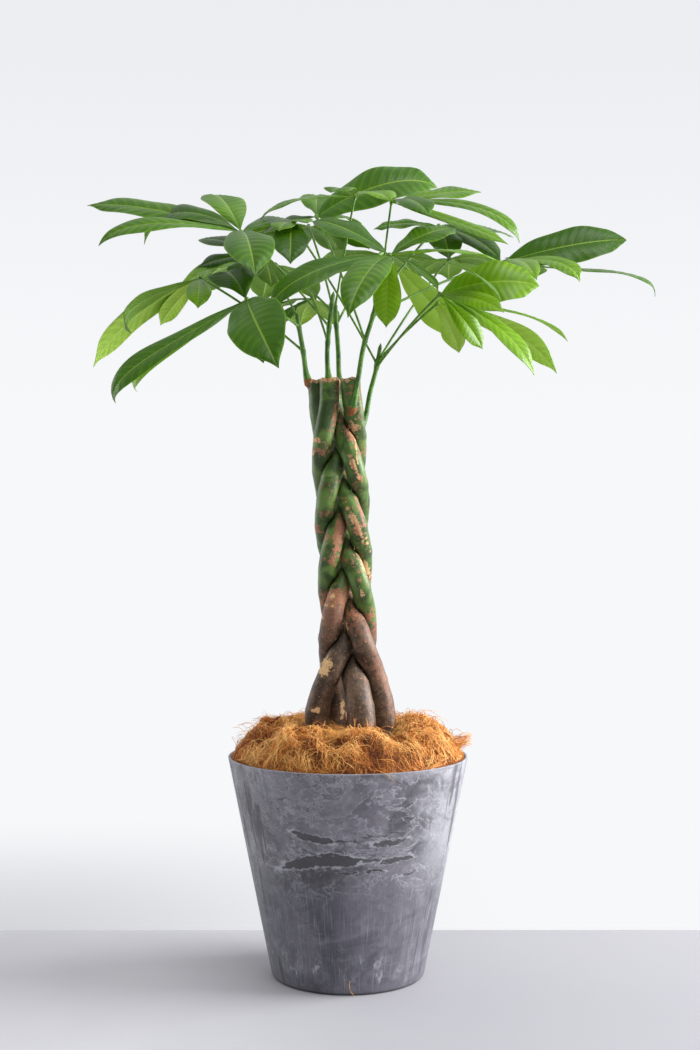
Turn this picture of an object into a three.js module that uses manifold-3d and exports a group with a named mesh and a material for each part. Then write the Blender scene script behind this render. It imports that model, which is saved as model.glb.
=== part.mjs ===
// Potted money tree: five stems braided together in a tapered grey pot, mulched with coconut fibre.
// Millimetres, +Z up. The origin is the middle of the pot's underside and the front looks along -Y.
import * as THREE from 'three';
import { mergeVertices } from 'three/addons/utils/BufferGeometryUtils.js';
import Module from 'manifold-3d';

const wasm = await Module();
wasm.setup();

// Driving dimensions of the pot
const POT_TOP_RADIUS = 165;
const POT_BASE_RADIUS = 104.5;
const POT_HEIGHT = 300;
const POT_WALL = 4;
const POT_FLOOR = 6;
const POT_EDGE = 4;
const POT_LIP = 1.2;
const POT_SEGMENTS = 48;
const DRAIN_RADIUS = 7;
const DRAIN_CIRCLE = 62;
const DRAIN_COUNT = 5;
const DRAIN_SIDES = 12;

// Soil and mulch
const GAP = 0.3;
// The facets of a stem's hole bring it nearer to the stem, so the hole is this many gaps wider
const HOLE_SHARE = 1.3;
const SOIL_EDGE = 258;
const SOIL_CROWN = 312;
const MULCH_EDGE = 297;
const MULCH_RINGS = [0, 62, 92, 118, 140, 153, 158.5];
const MULCH_RISE = [36, 38, 43, 43, 32, 16, 4];
const MULCH_TURNS = 30;
const SOIL_SEGMENTS = 24;
const MULCH_LUMP = 5;

// The braid: every stem follows the same figure of eight, a fifth of a turn behind the next one
const STEM_COUNT = 5;
const STEM_SIDES = 10;
const STEM_TOP = 817;
const STEM_RADIUS = 13.5;
const STEM_SWELL = [4, 3.4, 5.8, 4, 2.6];
const SWELL_START = 540;
const SWELL_END = 345;
const PRESS_MARGIN = 2.1;
const BRAID_REACH = 25;
const BRAID_DEPTH = 27;
const BRAID_GROWTH = 1.2;
const BRAID_STEP = 40.7;
const BRAID_ZERO = 389;
const BRAID_LOW = 425;
const BRAID_HIGH = 775;
const BRAID_EASE = 15;
const SPREAD_START = 462;
const SPREAD_END = 348;
const TRUNK_LEAN = 0.05;
const TRUNK_FOOT_X = 5;
const TRUNK_FOOT_Z = 375;
// Where each stem enters the soil, as x and y from the foot of the braid
const STEM_FEET = [[22, 42], [43, -6], [12, -44], [-27, 32], [-49, -16]];
// The rings of a stem: two in the soil, then evenly spaced ones
const BURIED_RINGS = [160, 245, 320];
const FIRST_RING = 338;
const STEM_RING_STEP = 14;
// Under this height a stem is a little thinner
const BURIED_HEIGHT = 300;
const BURIED_SHARE = 0.9;
const AXIS_STEP = 3;

// Leaflets
const BLADE_THICKNESS = 0.8;
const BLADE_STATIONS = [0, 0.15, 0.37, 0.62, 0.85, 1];
const BLADE_FOOT = 2;
const BLADE_FOOT_HALF = 1.1;
const BLADE_TIP_HALF = 0.5;
const PETIOLE_RADIUS = 1.9;
const PETIOLE_SIDES = 5;
const SHOOT_SIDES = 8;
// The hub where the leaflets meet is a little thicker than the stalk and reaches just past them
const HUB_SWELL = 0.8;
const HUB_REACH = 2.4;
const PETIOLE_STEPS = 4;
// Half the angle that a leaf at the back opens over, in degrees
const FAN_SPREAD = 78;

// Each shoot: the stem that carries it, its path and its thickness along that path
const SHOOTS = [
  { stem: 5, path: [[-44, 0, 800], [-55, -1, 816], [-62, -4, 858], [-68, -8, 893], [-70, -10, 908]] },
  { stem: 4, path: [[-24, 16, 800], [-27, 22, 820], [-29, 24, 858], [-24, 22, 914], [-20, 22, 943]] },
  { stem: 2, path: [[-1, 26, 798], [-11, 38, 818], [-14, 42, 865], [-17, 44, 905], [-18, 46, 930]] },
  { stem: 3, path: [[4, -24, 764], [8, -37, 782], [14, -38, 816], [21, -37, 858], [34, -34, 901], [50, -28, 966]] },
  { stem: 2, path: [[8, 26, 745], [22, 32, 762], [31, 34, 803], [40, 34, 838], [46, 32, 872]] },
];
const SHOOT_RADII = [3.7, 3.5, 3.2, 2.8];
const SHOOT_END_RADIUS = 2;
const SHOOT_STEPS = 8;

const GREY_STONE = { color: 0x6f6e73, roughness: 0.62, metalness: 0 };
const DARK_SOIL = { color: 0x2e2119, roughness: 0.95, metalness: 0 };
const COCONUT_FIBRE = { color: 0xb87a34, roughness: 0.95, metalness: 0 };
const GREEN_BARK = { color: 0x55713a, roughness: 0.5, metalness: 0 };
const GREEN_SHOOT = { color: 0x5d9436, roughness: 0.45, metalness: 0 };
const GREEN_LEAF = { color: 0x4a8a2c, roughness: 0.4, metalness: 0 };

// Leaflets spread evenly about a heading in degrees, longest in the middle, for the leaves at the back
function fan(heading, count, reach, width, droop) {
  return Array.from({ length: count }, (_, i) => {
    const off = (i - (count - 1) / 2) / ((count - 1) / 2);
    const angle = THREE.MathUtils.degToRad(heading + FAN_SPREAD * off);
    const length = reach * (1 - 0.25 * Math.abs(off));
    const fall = -droop * length * (0.6 + 0.4 * Math.abs(off));
    const breadth = width * (1 - 0.15 * Math.abs(off));
    return [length * Math.cos(angle), length * Math.sin(angle), fall, breadth, 0.14 * length];
  });
}

// Each leaf: its shoot, the height where its stalk leaves the shoot, its hub, the way its blades face,
// and for each leaflet the reach from hub to tip in x, y and z, its width, the arch of its rib and,
// where it is rolled about its rib, that angle in degrees.
const LEAVES = [
  // Left side
  { shoot: 2, from: 893, hub: [-146, -20, 1018], face: [0, -0.7, 1], leaflets: [
    [-223, 70, 51, 60, 14], [-141, 60, -6, 60, 50], [-185, -60, -31, 58, 26],
    [-50, 120, 76, 62, 14, 10], [29, -150, -85, 66, 26], [70, 110, 35, 44, 10]] },
  { shoot: 1, from: 890, hub: [-131, -130, 909], face: [0, -0.9, 1], leaflets: [
    [-36, 80, 46, 66, 16], [-163, -40, -138, 60, 38, 14], [48, -130, -103, 76, 30, 22],
    [-147, 40, -111, 32, 34, -10], [23, -20, -85, 40, 8]] },
  { shoot: 1, from: 856, hub: [-209, 50, 966], face: [0, 0.35, 1], leaflets: [
    [-146, -30, -129, 60, 34], [-87, -70, -87, 44, 34, 30], [-59, 20, -64, 44, 8],
    [7, -100, -57, 44, 10], [18, 52, 18, 34, 6]] },
  { shoot: 1, from: 902, hub: [-119, 14, 992], face: [0, -0.6, 1], leaflets: [
    [-83, -16, -30, 46, 8], [-98, 84, 20, 50, 12], [-30, -76, -50, 50, 8], [9, 64, -34, 42, 10]] },
  // Middle
  { shoot: 5, from: 842, hub: [-77, -20, 1030], face: [0, -0.4, 1], leaflets: [
    [-14, -70, -25, 32, 7], [2, -90, -72, 54, 18], [24, -58, -12, 28, 5], [60, 38, -30, 44, 12]] },
  { shoot: 4, from: 866, hub: [-46, 110, 1066], face: [0, -0.8, 1], leaflets: [
    [175, -10, 40, 80, 36, 12], [-2, 100, 52, 52, 10], [-90, 70, -20, 46, 12], [60, 110, 10, 50, 10]] },
  { shoot: 3, from: 926, hub: [10, 45, 1080], face: [0, -0.3, 1], leaflets: [
    [47, -90, -26, 50, 12], [-133, -14, -36, 46, 14], [-33, -80, -12, 44, 10]] },
  { shoot: 4, from: 948, hub: [60, 0, 1063], face: [0, -0.6, 1], leaflets: [
    [170, -60, -68, 46, 30], [128, 46, 24, 46, 6], [158, -30, -64, 50, 4], [47, -100, -40, 50, 16]] },
  { shoot: 4, from: 917, hub: [128, 45, 1039], face: [0, -0.5, 1], leaflets: [
    [80, -70, -61, 48, 12], [113, 70, -3, 40, 8], [9, -80, -61, 46, 12], [-92, 10, -3, 44, 8],
    [70, 130, -10, 54, 18]] },
  { shoot: 4, from: 956, hub: [54, -120, 968], face: [0, -0.55, 1], leaflets: [
    [-155, -30, -75, 58, 24, -12], [-54, -110, -97, 72, 22], [-102, 50, 54, 60, 12], [90, 50, 43, 58, 12],
    [143, 20, -4, 50, 12, -15], [137, -80, -72, 32, 22, -30], [59, -80, -60, 30, 10, -25],
    [-4, 10, -93, 38, 6]] },
  { shoot: 4, from: 933, hub: [61, 10, 982], face: [0, 0.3, 1], leaflets: [[89, 50, -102, 66, 12]] },
  // Right side
  { shoot: 5, from: 838, hub: [124, -50, 928], face: [0, -1.4, 1], leaflets: [
    [130, -30, 6, 68, 22, 8], [121, -50, -115, 46, 22, -30], [58, -40, -73, 44, 10], [78, -80, -36, 40, 12]] },
  { shoot: 5, from: 846, hub: [124, 0, 923], face: [0, 0.1, 1], leaflets: [
    [163, -10, -98, 58, 26], [188, 60, -45, 46, 18, 15], [31, -10, -66, 40, 6]] },
  { shoot: 4, from: 901, hub: [223, 60, 991], face: [0, -0.7, 1], leaflets: [
    [169, -20, 27, 64, 20, 20], [205, -40, -56, 50, 46, -20], [91, -100, -45, 48, 26], [29, -130, -47, 36, 16],
    [60, 140, 0, 60, 18]] },
  // Back
  { shoot: 3, from: 912, hub: [-110, 190, 1010], face: [0, 0.3, 1], leaflets: fan(140, 5, 168, 60, 0.3) },
  { shoot: 3, from: 898, hub: [50, 210, 1030], face: [0, 0.3, 1], leaflets: fan(100, 5, 140, 56, 0.25) },
  { shoot: 5, from: 846, hub: [150, 150, 1012], face: [0, 0.3, 1], leaflets: fan(48, 5, 100, 48, 0.25) },
  { shoot: 2, from: 925, hub: [-60, 200, 1070], face: [0, 0.3, 1], leaflets: fan(105, 5, 140, 54, 0.25) },
  { shoot: 2, from: 872, hub: [-52, 95, 945], face: [0, -0.2, 1], leaflets: [
    [-50, -10, -52, 46, 12], [-70, 50, -20, 44, 10], [-20, 80, -30, 44, 10], [30, 60, -30, 40, 8]] },
];

const UP = new THREE.Vector3(0, 0, 1);

function smoothstep(edge0, edge1, value) {
  return THREE.MathUtils.smoothstep(value, edge0, edge1);
}

// A value that stays at zero below the bend and rises one for one above it
function softRamp(value) {
  return BRAID_EASE * Math.log1p(Math.exp(value / BRAID_EASE));
}

function solid(geometry) {
  const bare = geometry.index ? geometry : mergeVertices(geometry);
  const vertProperties = Float32Array.from(bare.attributes.position.array);
  const triVerts = Uint32Array.from(bare.index.array);
  return new wasm.Manifold(new wasm.Mesh({ numProp: 3, vertProperties, triVerts }));
}

// A three.js primitive without its normals and texture coordinates, so that its corners are shared
function welded(geometry) {
  geometry.deleteAttribute('normal');
  geometry.deleteAttribute('uv');
  return mergeVertices(geometry, 1e-4);
}

function geometryOf(manifold) {
  const mesh = manifold.getMesh();
  const geometry = new THREE.BufferGeometry();
  geometry.setAttribute('position', new THREE.BufferAttribute(mesh.vertProperties, 3));
  geometry.setIndex(new THREE.BufferAttribute(mesh.triVerts, 1));
  return geometry;
}

function meshGeometry(points, triangles) {
  const geometry = new THREE.BufferGeometry();
  geometry.setAttribute('position', new THREE.Float32BufferAttribute(points.flatMap((p) => p.toArray()), 3));
  geometry.setIndex(triangles.flat());
  return geometry;
}

function material(finish) {
  return new THREE.MeshStandardMaterial({ ...finish, side: THREE.FrontSide });
}

function named(name, geometry, finish) {
  const mesh = new THREE.Mesh(geometry, material(finish));
  mesh.name = name;
  return mesh;
}

// A closed tube through the given points that never twists about its path. The radius is a function
// of the ring's number and the direction.
function tube(points, sides, radiusAt) {
  const corners = [];
  const triangles = [];
  const tangents = points.map((point, i) => {
    const before = points[Math.max(i - 1, 0)];
    const after = points[Math.min(i + 1, points.length - 1)];
    return after.clone().sub(before).normalize();
  });
  let across = new THREE.Vector3(1, 0, 0);
  if (Math.abs(tangents[0].x) > 0.8) {
    across.set(0, 1, 0);
  }
  points.forEach((point, i) => {
    across = across.clone().addScaledVector(tangents[i], -across.dot(tangents[i])).normalize();
    const other = tangents[i].clone().cross(across);
    for (let side = 0; side < sides; side += 1) {
      const angle = (2 * Math.PI * side) / sides;
      const direction = across.clone().multiplyScalar(Math.cos(angle));
      direction.addScaledVector(other, Math.sin(angle));
      corners.push(point.clone().addScaledVector(direction, radiusAt(i, direction)));
    }
  });
  for (let ring = 0; ring < points.length - 1; ring += 1) {
    for (let side = 0; side < sides; side += 1) {
      const a = ring * sides + side;
      const b = ring * sides + ((side + 1) % sides);
      triangles.push([a, b, b + sides], [a, b + sides, a + sides]);
    }
  }
  const last = (points.length - 1) * sides;
  for (let side = 1; side < sides - 1; side += 1) {
    triangles.push([0, side + 1, side], [last, last + side, last + side + 1]);
  }
  return meshGeometry(corners, triangles);
}

// Pot

function innerRadius(height) {
  const wallTop = POT_TOP_RADIUS - POT_WALL;
  const wallBase = POT_BASE_RADIUS - POT_WALL;
  return wallBase + ((wallTop - wallBase) * height) / POT_HEIGHT;
}

function outerRadius(height) {
  return innerRadius(height) + POT_WALL;
}

function potGeometry() {
  const profile = [
    [0, 0],
    [POT_BASE_RADIUS - POT_EDGE, 0],
    [outerRadius(POT_EDGE) - POT_LIP, POT_LIP],
    [outerRadius(POT_EDGE), POT_EDGE],
    [POT_TOP_RADIUS, POT_HEIGHT - POT_LIP],
    [POT_TOP_RADIUS - POT_LIP, POT_HEIGHT],
    [POT_TOP_RADIUS - POT_WALL + POT_LIP, POT_HEIGHT],
    [innerRadius(POT_HEIGHT - POT_LIP), POT_HEIGHT - POT_LIP],
    [innerRadius(POT_FLOOR), POT_FLOOR],
    [0, POT_FLOOR],
  ].map(([radius, height]) => new THREE.Vector2(radius, height));
  const shell = new THREE.LatheGeometry(profile, POT_SEGMENTS);
  shell.rotateX(Math.PI / 2);
  let pot = solid(welded(shell));
  for (let i = 0; i < DRAIN_COUNT; i += 1) {
    const angle = (2 * Math.PI * i) / DRAIN_COUNT;
    const drain = new THREE.CylinderGeometry(DRAIN_RADIUS, DRAIN_RADIUS, 4 * POT_FLOOR, DRAIN_SIDES);
    drain.rotateX(Math.PI / 2);
    drain.translate(DRAIN_CIRCLE * Math.cos(angle), DRAIN_CIRCLE * Math.sin(angle), 0);
    pot = pot.subtract(solid(welded(drain)));
  }
  return geometryOf(pot);
}

// Braided stems

function stemRadius(index, z) {
  return STEM_RADIUS + STEM_SWELL[index] * (1 - smoothstep(SWELL_END, SWELL_START, z));
}

function stemPoint(index, z) {
  const braided = BRAID_LOW + softRamp(z - BRAID_LOW) - softRamp(z - BRAID_HIGH);
  const turn = (Math.PI / 5) * ((braided - BRAID_ZERO) / BRAID_STEP + 2 * index);
  const growth = BRAID_GROWTH * (stemRadius(index, Math.max(z, SPREAD_START)) - STEM_RADIUS);
  const spread = 1 - smoothstep(SPREAD_END, SPREAD_START, z);
  const [footX, footY] = STEM_FEET[index];
  const x = THREE.MathUtils.lerp((BRAID_REACH + growth) * Math.sin(turn), footX, spread);
  const y = THREE.MathUtils.lerp((BRAID_DEPTH + growth) * Math.sin(2 * turn), footY, spread);
  const lean = TRUNK_FOOT_X - TRUNK_LEAN * (Math.max(z, SPREAD_END) - TRUNK_FOOT_Z);
  return new THREE.Vector3(x + lean, y, z);
}

const STEM_AXES = Array.from({ length: STEM_COUNT }, (_, index) => {
  const axis = [];
  for (let z = BURIED_RINGS[0]; z <= STEM_TOP; z += AXIS_STEP) {
    axis.push(stemPoint(index, z));
  }
  return axis;
});

// How far a stem reaches from a point of its axis before it presses flat against a neighbour
function pressedRadius(index, point, direction) {
  const full = stemRadius(index, point.z) * (point.z < BURIED_HEIGHT ? BURIED_SHARE : 1);
  let reach = full;
  STEM_AXES.forEach((axis, other) => {
    if (other === index) {
      return;
    }
    for (const neighbour of axis) {
      const apart = neighbour.clone().sub(point);
      const towards = apart.dot(direction);
      if (towards > 0 && Math.abs(apart.z) < 2 * full) {
        reach = Math.min(reach, apart.lengthSq() / (2 * towards) - PRESS_MARGIN);
      }
    }
  });
  return reach;
}

function stemHeights() {
  const heights = [...BURIED_RINGS];
  const rings = Math.round((STEM_TOP - FIRST_RING) / STEM_RING_STEP);
  for (let i = 0; i <= rings; i += 1) {
    heights.push(THREE.MathUtils.lerp(FIRST_RING, STEM_TOP, i / rings));
  }
  return heights;
}

function stemGeometry(index, extra = 0) {
  const axis = stemHeights().map((z) => stemPoint(index, z));
  const points = axis.map((point) => point.clone());
  if (extra > 0) {
    points[0].z -= extra;
    points[points.length - 1].z += extra;
  }
  return tube(points, STEM_SIDES, (ring, direction) => {
    return pressedRadius(index, axis[ring], direction) + HOLE_SHARE * extra;
  });
}

// Soil and coconut fibre mulch

function soilHeight(radius) {
  const share = Math.min(radius / innerRadius(SOIL_EDGE), 1);
  return SOIL_CROWN - (SOIL_CROWN - SOIL_EDGE) * share * share;
}

function withoutStems(body) {
  let rest = body;
  for (let index = 0; index < STEM_COUNT; index += 1) {
    rest = rest.subtract(solid(stemGeometry(index, GAP)));
  }
  return rest;
}

function soilGeometry() {
  const floor = POT_FLOOR + GAP;
  const edge = innerRadius(SOIL_EDGE) - 2 * GAP;
  const profile = [[0, floor], [innerRadius(floor) - 2 * GAP, floor], [edge, SOIL_EDGE]];
  for (const share of [0.7, 0.35, 0]) {
    profile.push([edge * share, soilHeight(edge * share)]);
  }
  const body = new THREE.LatheGeometry(profile.map(([r, z]) => new THREE.Vector2(r, z)), SOIL_SEGMENTS);
  body.rotateX(Math.PI / 2);
  return geometryOf(withoutStems(solid(welded(body))));
}

function mulchTop(ring, turn) {
  const lump = Math.sin(5 * turn + 0.4 * ring) + 0.8 * Math.sin(9 * turn + 1.9 * ring + 1)
    + 0.7 * Math.sin(3 * turn - 1.3 * ring);
  const damp = ring === MULCH_RINGS.length - 1 ? 0.25 : 1;
  return MULCH_EDGE + MULCH_RISE[ring] + MULCH_LUMP * 0.6 * damp * lump;
}

function mulchGeometry() {
  const points = [];
  const triangles = [];
  const rings = MULCH_RINGS.length;
  const centreTop = new THREE.Vector3(0, 0, MULCH_EDGE + MULCH_RISE[0]);
  const centreBottom = new THREE.Vector3(0, 0, soilHeight(0) + GAP + 1);
  points.push(centreTop, centreBottom);
  for (let ring = 1; ring < rings; ring += 1) {
    for (let i = 0; i < MULCH_TURNS; i += 1) {
      const turn = (2 * Math.PI * i) / MULCH_TURNS;
      const radius = MULCH_RINGS[ring];
      const bottomRadius = Math.min(radius, innerRadius(soilHeight(radius)) - 4 * GAP);
      const bottom = soilHeight(bottomRadius) + GAP + 1;
      const x = Math.cos(turn);
      const y = Math.sin(turn);
      points.push(new THREE.Vector3(radius * x, radius * y, mulchTop(ring, turn)));
      points.push(new THREE.Vector3(bottomRadius * x, bottomRadius * y, bottom));
    }
  }
  const at = (ring, i, layer) => 2 + 2 * ((ring - 1) * MULCH_TURNS + (i % MULCH_TURNS)) + layer;
  for (let i = 0; i < MULCH_TURNS; i += 1) {
    triangles.push([0, at(1, i, 0), at(1, i + 1, 0)], [1, at(1, i + 1, 1), at(1, i, 1)]);
    for (let ring = 1; ring < rings - 1; ring += 1) {
      triangles.push([at(ring, i, 0), at(ring + 1, i, 0), at(ring + 1, i + 1, 0)]);
      triangles.push([at(ring, i, 0), at(ring + 1, i + 1, 0), at(ring, i + 1, 0)]);
      triangles.push([at(ring, i, 1), at(ring + 1, i + 1, 1), at(ring + 1, i, 1)]);
      triangles.push([at(ring, i, 1), at(ring, i + 1, 1), at(ring + 1, i + 1, 1)]);
    }
    triangles.push([at(rings - 1, i, 0), at(rings - 1, i, 1), at(rings - 1, i + 1, 1)]);
    triangles.push([at(rings - 1, i, 0), at(rings - 1, i + 1, 1), at(rings - 1, i + 1, 0)]);
  }
  return geometryOf(withoutStems(solid(meshGeometry(points, triangles))));
}

// Shoots and leaves

function shootCurve(index) {
  return new THREE.CatmullRomCurve3(SHOOTS[index].path.map((p) => new THREE.Vector3(...p)));
}

function shootTube(index, extra = 0) {
  const points = shootCurve(index).getPoints(SHOOT_STEPS);
  const radii = points.map((_, i) => {
    const place = (i / SHOOT_STEPS) * (SHOOT_RADII.length - 1);
    const low = Math.min(Math.floor(place), SHOOT_RADII.length - 2);
    return THREE.MathUtils.lerp(SHOOT_RADII[low], SHOOT_RADII[low + 1], place - low) + extra;
  });
  radii[SHOOT_STEPS] = SHOOT_END_RADIUS + extra;
  return tube(points, SHOOT_SIDES, (ring) => radii[ring]);
}

function shootGeometry(index) {
  const carrier = SHOOTS[index].stem - 1;
  return geometryOf(solid(shootTube(index)).subtract(solid(stemGeometry(carrier, GAP))));
}

function shootPointAt(index, z) {
  const points = shootCurve(index).getPoints(200);
  return points.find((point) => point.z >= z) ?? points[points.length - 1];
}

// Half the width of a leaflet along its rib: wedge shaped at the foot and drawn out to a point
function bladeShape(t) {
  const body = Math.sin(Math.PI * Math.min(t ** 1.27, 1)) ** 0.9;
  return body * (1 - 0.3 * smoothstep(0.84, 1, t));
}

// A thin closed blade along an arched rib
function bladeGeometry(hub, face, [dx, dy, dz, width, arch, twist = 0]) {
  const chord = new THREE.Vector3(dx, dy, dz);
  const along = chord.clone().normalize();
  const normal = face.clone().addScaledVector(along, -face.dot(along)).normalize();
  normal.applyAxisAngle(along, THREE.MathUtils.degToRad(twist));
  const rib = new THREE.CubicBezierCurve3(
    hub.clone().addScaledVector(along, BLADE_FOOT),
    hub.clone().addScaledVector(chord, 0.35).addScaledVector(normal, arch),
    hub.clone().addScaledVector(chord, 0.75).addScaledVector(normal, arch),
    hub.clone().add(chord),
  );
  const points = [];
  const triangles = [];
  BLADE_STATIONS.forEach((t, station) => {
    const place = rib.getPoint(t);
    const tangent = rib.getTangent(t);
    const up = normal.clone().addScaledVector(tangent, -normal.dot(tangent)).normalize();
    const side = tangent.clone().cross(up);
    const half = Math.max((width / 2) * bladeShape(t), station === 0 ? BLADE_FOOT_HALF : BLADE_TIP_HALF);
    for (const [across, down] of [[-half, 0], [half, 0], [half, BLADE_THICKNESS], [-half, BLADE_THICKNESS]]) {
      points.push(place.clone().addScaledVector(side, across).addScaledVector(up, -down));
    }
  });
  const last = 4 * (BLADE_STATIONS.length - 1);
  for (let ring = 0; ring < last; ring += 4) {
    for (let k = 0; k < 4; k += 1) {
      const a = ring + k;
      const b = ring + ((k + 1) % 4);
      triangles.push([a, b, b + 4], [a, b + 4, a + 4]);
    }
  }
  triangles.push([0, 2, 1], [0, 3, 2], [last, last + 1, last + 2], [last, last + 2, last + 3]);
  return meshGeometry(points, triangles);
}

function petioleGeometry(start, hub) {
  const bend = start.clone().lerp(hub, 0.5).addScaledVector(UP, 0.06 * start.distanceTo(hub));
  const curve = new THREE.QuadraticBezierCurve3(start, bend, hub);
  const points = curve.getPoints(PETIOLE_STEPS);
  const end = hub.clone().sub(points[PETIOLE_STEPS - 1]).normalize();
  points.push(hub.clone().addScaledVector(end, HUB_REACH));
  return tube(points, PETIOLE_SIDES, (ring) => PETIOLE_RADIUS + (ring >= PETIOLE_STEPS ? HUB_SWELL : 0));
}

function leafGeometry(leaf) {
  const index = leaf.shoot - 1;
  const hub = new THREE.Vector3(...leaf.hub);
  const face = new THREE.Vector3(...leaf.face).normalize();
  let body = solid(petioleGeometry(shootPointAt(index, leaf.from), hub));
  body = body.subtract(solid(shootTube(index, GAP)));
  for (const leaflet of leaf.leaflets) {
    body = body.add(solid(bladeGeometry(hub, face, leaflet)));
  }
  return geometryOf(body);
}

const plant = new THREE.Group();
plant.add(named('pot', potGeometry(), GREY_STONE));
plant.add(named('soil', soilGeometry(), DARK_SOIL));
plant.add(named('coir_mulch', mulchGeometry(), COCONUT_FIBRE));
for (let index = 0; index < STEM_COUNT; index += 1) {
  plant.add(named(`stem_${index + 1}`, stemGeometry(index), GREEN_BARK));
}
SHOOTS.forEach((_, index) => {
  plant.add(named(`shoot_${index + 1}`, shootGeometry(index), GREEN_SHOOT));
});
LEAVES.forEach((leaf, index) => {
  plant.add(named(`leaf_${String(index + 1).padStart(2, '0')}`, leafGeometry(leaf), GREEN_LEAF));
});

export default plant;
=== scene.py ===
"""Looks of a potted money tree: braided stems, palmate leaves, a mottled grey pot and coconut fibre mulch.

Everything is in metres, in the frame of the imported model. The sizes below are in millimetres, and MM turns
them into metres where a mesh gets its places.
"""
import logging
import math
from dataclasses import asdict, dataclass, field
from enum import Enum
from functools import partial

import bpy
import numpy as np
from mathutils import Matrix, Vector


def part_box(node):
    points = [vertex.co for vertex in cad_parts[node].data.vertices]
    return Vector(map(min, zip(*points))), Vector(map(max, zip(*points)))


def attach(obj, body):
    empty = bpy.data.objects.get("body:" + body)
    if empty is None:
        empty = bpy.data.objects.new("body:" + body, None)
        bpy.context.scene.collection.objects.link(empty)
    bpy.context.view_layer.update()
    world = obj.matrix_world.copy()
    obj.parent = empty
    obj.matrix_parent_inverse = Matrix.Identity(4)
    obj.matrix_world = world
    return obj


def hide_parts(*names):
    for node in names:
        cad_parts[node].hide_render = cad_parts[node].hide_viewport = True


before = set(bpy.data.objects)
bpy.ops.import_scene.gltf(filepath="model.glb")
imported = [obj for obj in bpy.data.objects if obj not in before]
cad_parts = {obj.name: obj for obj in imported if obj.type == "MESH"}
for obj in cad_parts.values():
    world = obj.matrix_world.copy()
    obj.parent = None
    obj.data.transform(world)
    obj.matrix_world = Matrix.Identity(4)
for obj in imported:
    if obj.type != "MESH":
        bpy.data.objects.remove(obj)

LOG = logging.getLogger("money_tree")
MM = 0.001
FULL_TURN = 2 * math.pi
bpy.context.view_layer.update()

Array = np.ndarray
Colour = tuple[float, float, float, float]
Draw = np.random.Generator
Material = bpy.types.Material
Mesh = bpy.types.Mesh
Piece = bpy.types.Object
Place = tuple[float, float, float]
Socket = bpy.types.NodeSocket
Tree = bpy.types.NodeTree


class Slot(Enum):
    """The material slots of the record, which no piece here is given."""

    POT = "pot"
    COIR = "coir"
    BARK = "bark"
    SHOOT = "shoot"
    LEAF = "leaf"


class Face(Enum):
    """The kinds of face of a leaf, as their places in its material list."""

    TOP = 0
    UNDER = 1
    STALK = 2


# Helpers for pieces


def start_clean() -> None:
    """Leave edit mode and select nothing, because an operator acts on all that is selected."""
    if bpy.context.object and bpy.context.object.mode != "OBJECT":
        bpy.ops.object.mode_set(mode="OBJECT")
    bpy.ops.object.select_all(action="DESELECT")


def select_only(piece: Piece) -> None:
    """Make a piece the only one that is selected, and the active one.

    Args:
        piece: the object to work on.
    """
    start_clean()
    piece.select_set(True)
    bpy.context.view_layer.objects.active = piece


def apply_modifiers(piece: Piece) -> None:
    """Apply every modifier of a piece, in order.

    Args:
        piece: the object that has them.
    """
    select_only(piece)
    for modifier in list(piece.modifiers):
        bpy.ops.object.modifier_apply(modifier=modifier.name)


def close_up() -> None:
    """Turn all faces of the mesh in edit mode outwards, leave edit mode and smooth them."""
    bpy.ops.mesh.select_all(action="SELECT")
    bpy.ops.mesh.normals_make_consistent(inside=False)
    bpy.ops.object.mode_set(mode="OBJECT")
    bpy.ops.object.shade_smooth()


def dress(piece: Piece, *materials: Material) -> None:
    """Give a piece its materials in place of any it has.

    Args:
        piece: the object to dress.
        materials: the materials, in the order of the faces' numbers.
    """
    piece.data.materials.clear()
    for material in materials:
        piece.data.materials.append(material)


def settle(piece: Piece, node: str) -> None:
    """Fasten a finished piece to the frame and report it.

    Args:
        piece: the finished object.
        node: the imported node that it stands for.
    """
    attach(piece, "root")
    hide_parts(node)
    LOG.info("%s: %d faces for %s", piece.name, len(piece.data.polygons), node)


def link(name: str, mesh: Mesh) -> Piece:
    """A new object with a mesh of its own.

    Args:
        name: the name of both.
        mesh: the mesh.

    Returns:
        The new object, linked to the scene.
    """
    mesh.name = name
    piece = bpy.data.objects.new(name, mesh)
    bpy.context.collection.objects.link(piece)
    return piece


def read_places(mesh: Mesh) -> Array:
    """The places of a mesh's corners, one in each row.

    Args:
        mesh: the mesh to read.

    Returns:
        The places, in the mesh's own unit.
    """
    places = np.empty(3 * len(mesh.vertices))
    mesh.vertices.foreach_get("co", places)
    return places.reshape(-1, 3)


def write_places(mesh: Mesh, places: Array) -> None:
    """Move a mesh's corners to the given places, one in each row."""
    mesh.vertices.foreach_set("co", places.astype(np.float32).ravel())
    mesh.update()


def write_attribute(mesh: Mesh, name: str, values: Array) -> None:
    """Store a number or a vector for each corner of a mesh.

    Args:
        mesh: the mesh that gets the attribute.
        name: the attribute's name.
        values: one number or one row of three for each corner.
    """
    kind, key = ("FLOAT", "value") if values.ndim == 1 else ("FLOAT_VECTOR", "vector")
    layer = mesh.attributes.new(name, kind, "POINT")
    layer.data.foreach_set(key, values.astype(np.float32).ravel())


# Helpers for shapes


def smoothstep(low: float, high: float, value: Array) -> Array:
    """Rise smoothly from 0 at low to 1 at high."""
    share = np.clip((value - low) / (high - low), 0.0, 1.0)
    return share * share * (3.0 - 2.0 * share)


def unit(vectors: Array) -> Array:
    """Scale vectors, which lie along the last axis, to a length of one."""
    return vectors / np.maximum(np.linalg.norm(vectors, axis=-1, keepdims=True), 1e-9)


def polar(radius: Array, turn: Array) -> tuple[Array, Array]:
    """The x and y of a place at a radius and an angle."""
    return radius * np.cos(turn), radius * np.sin(turn)


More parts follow.
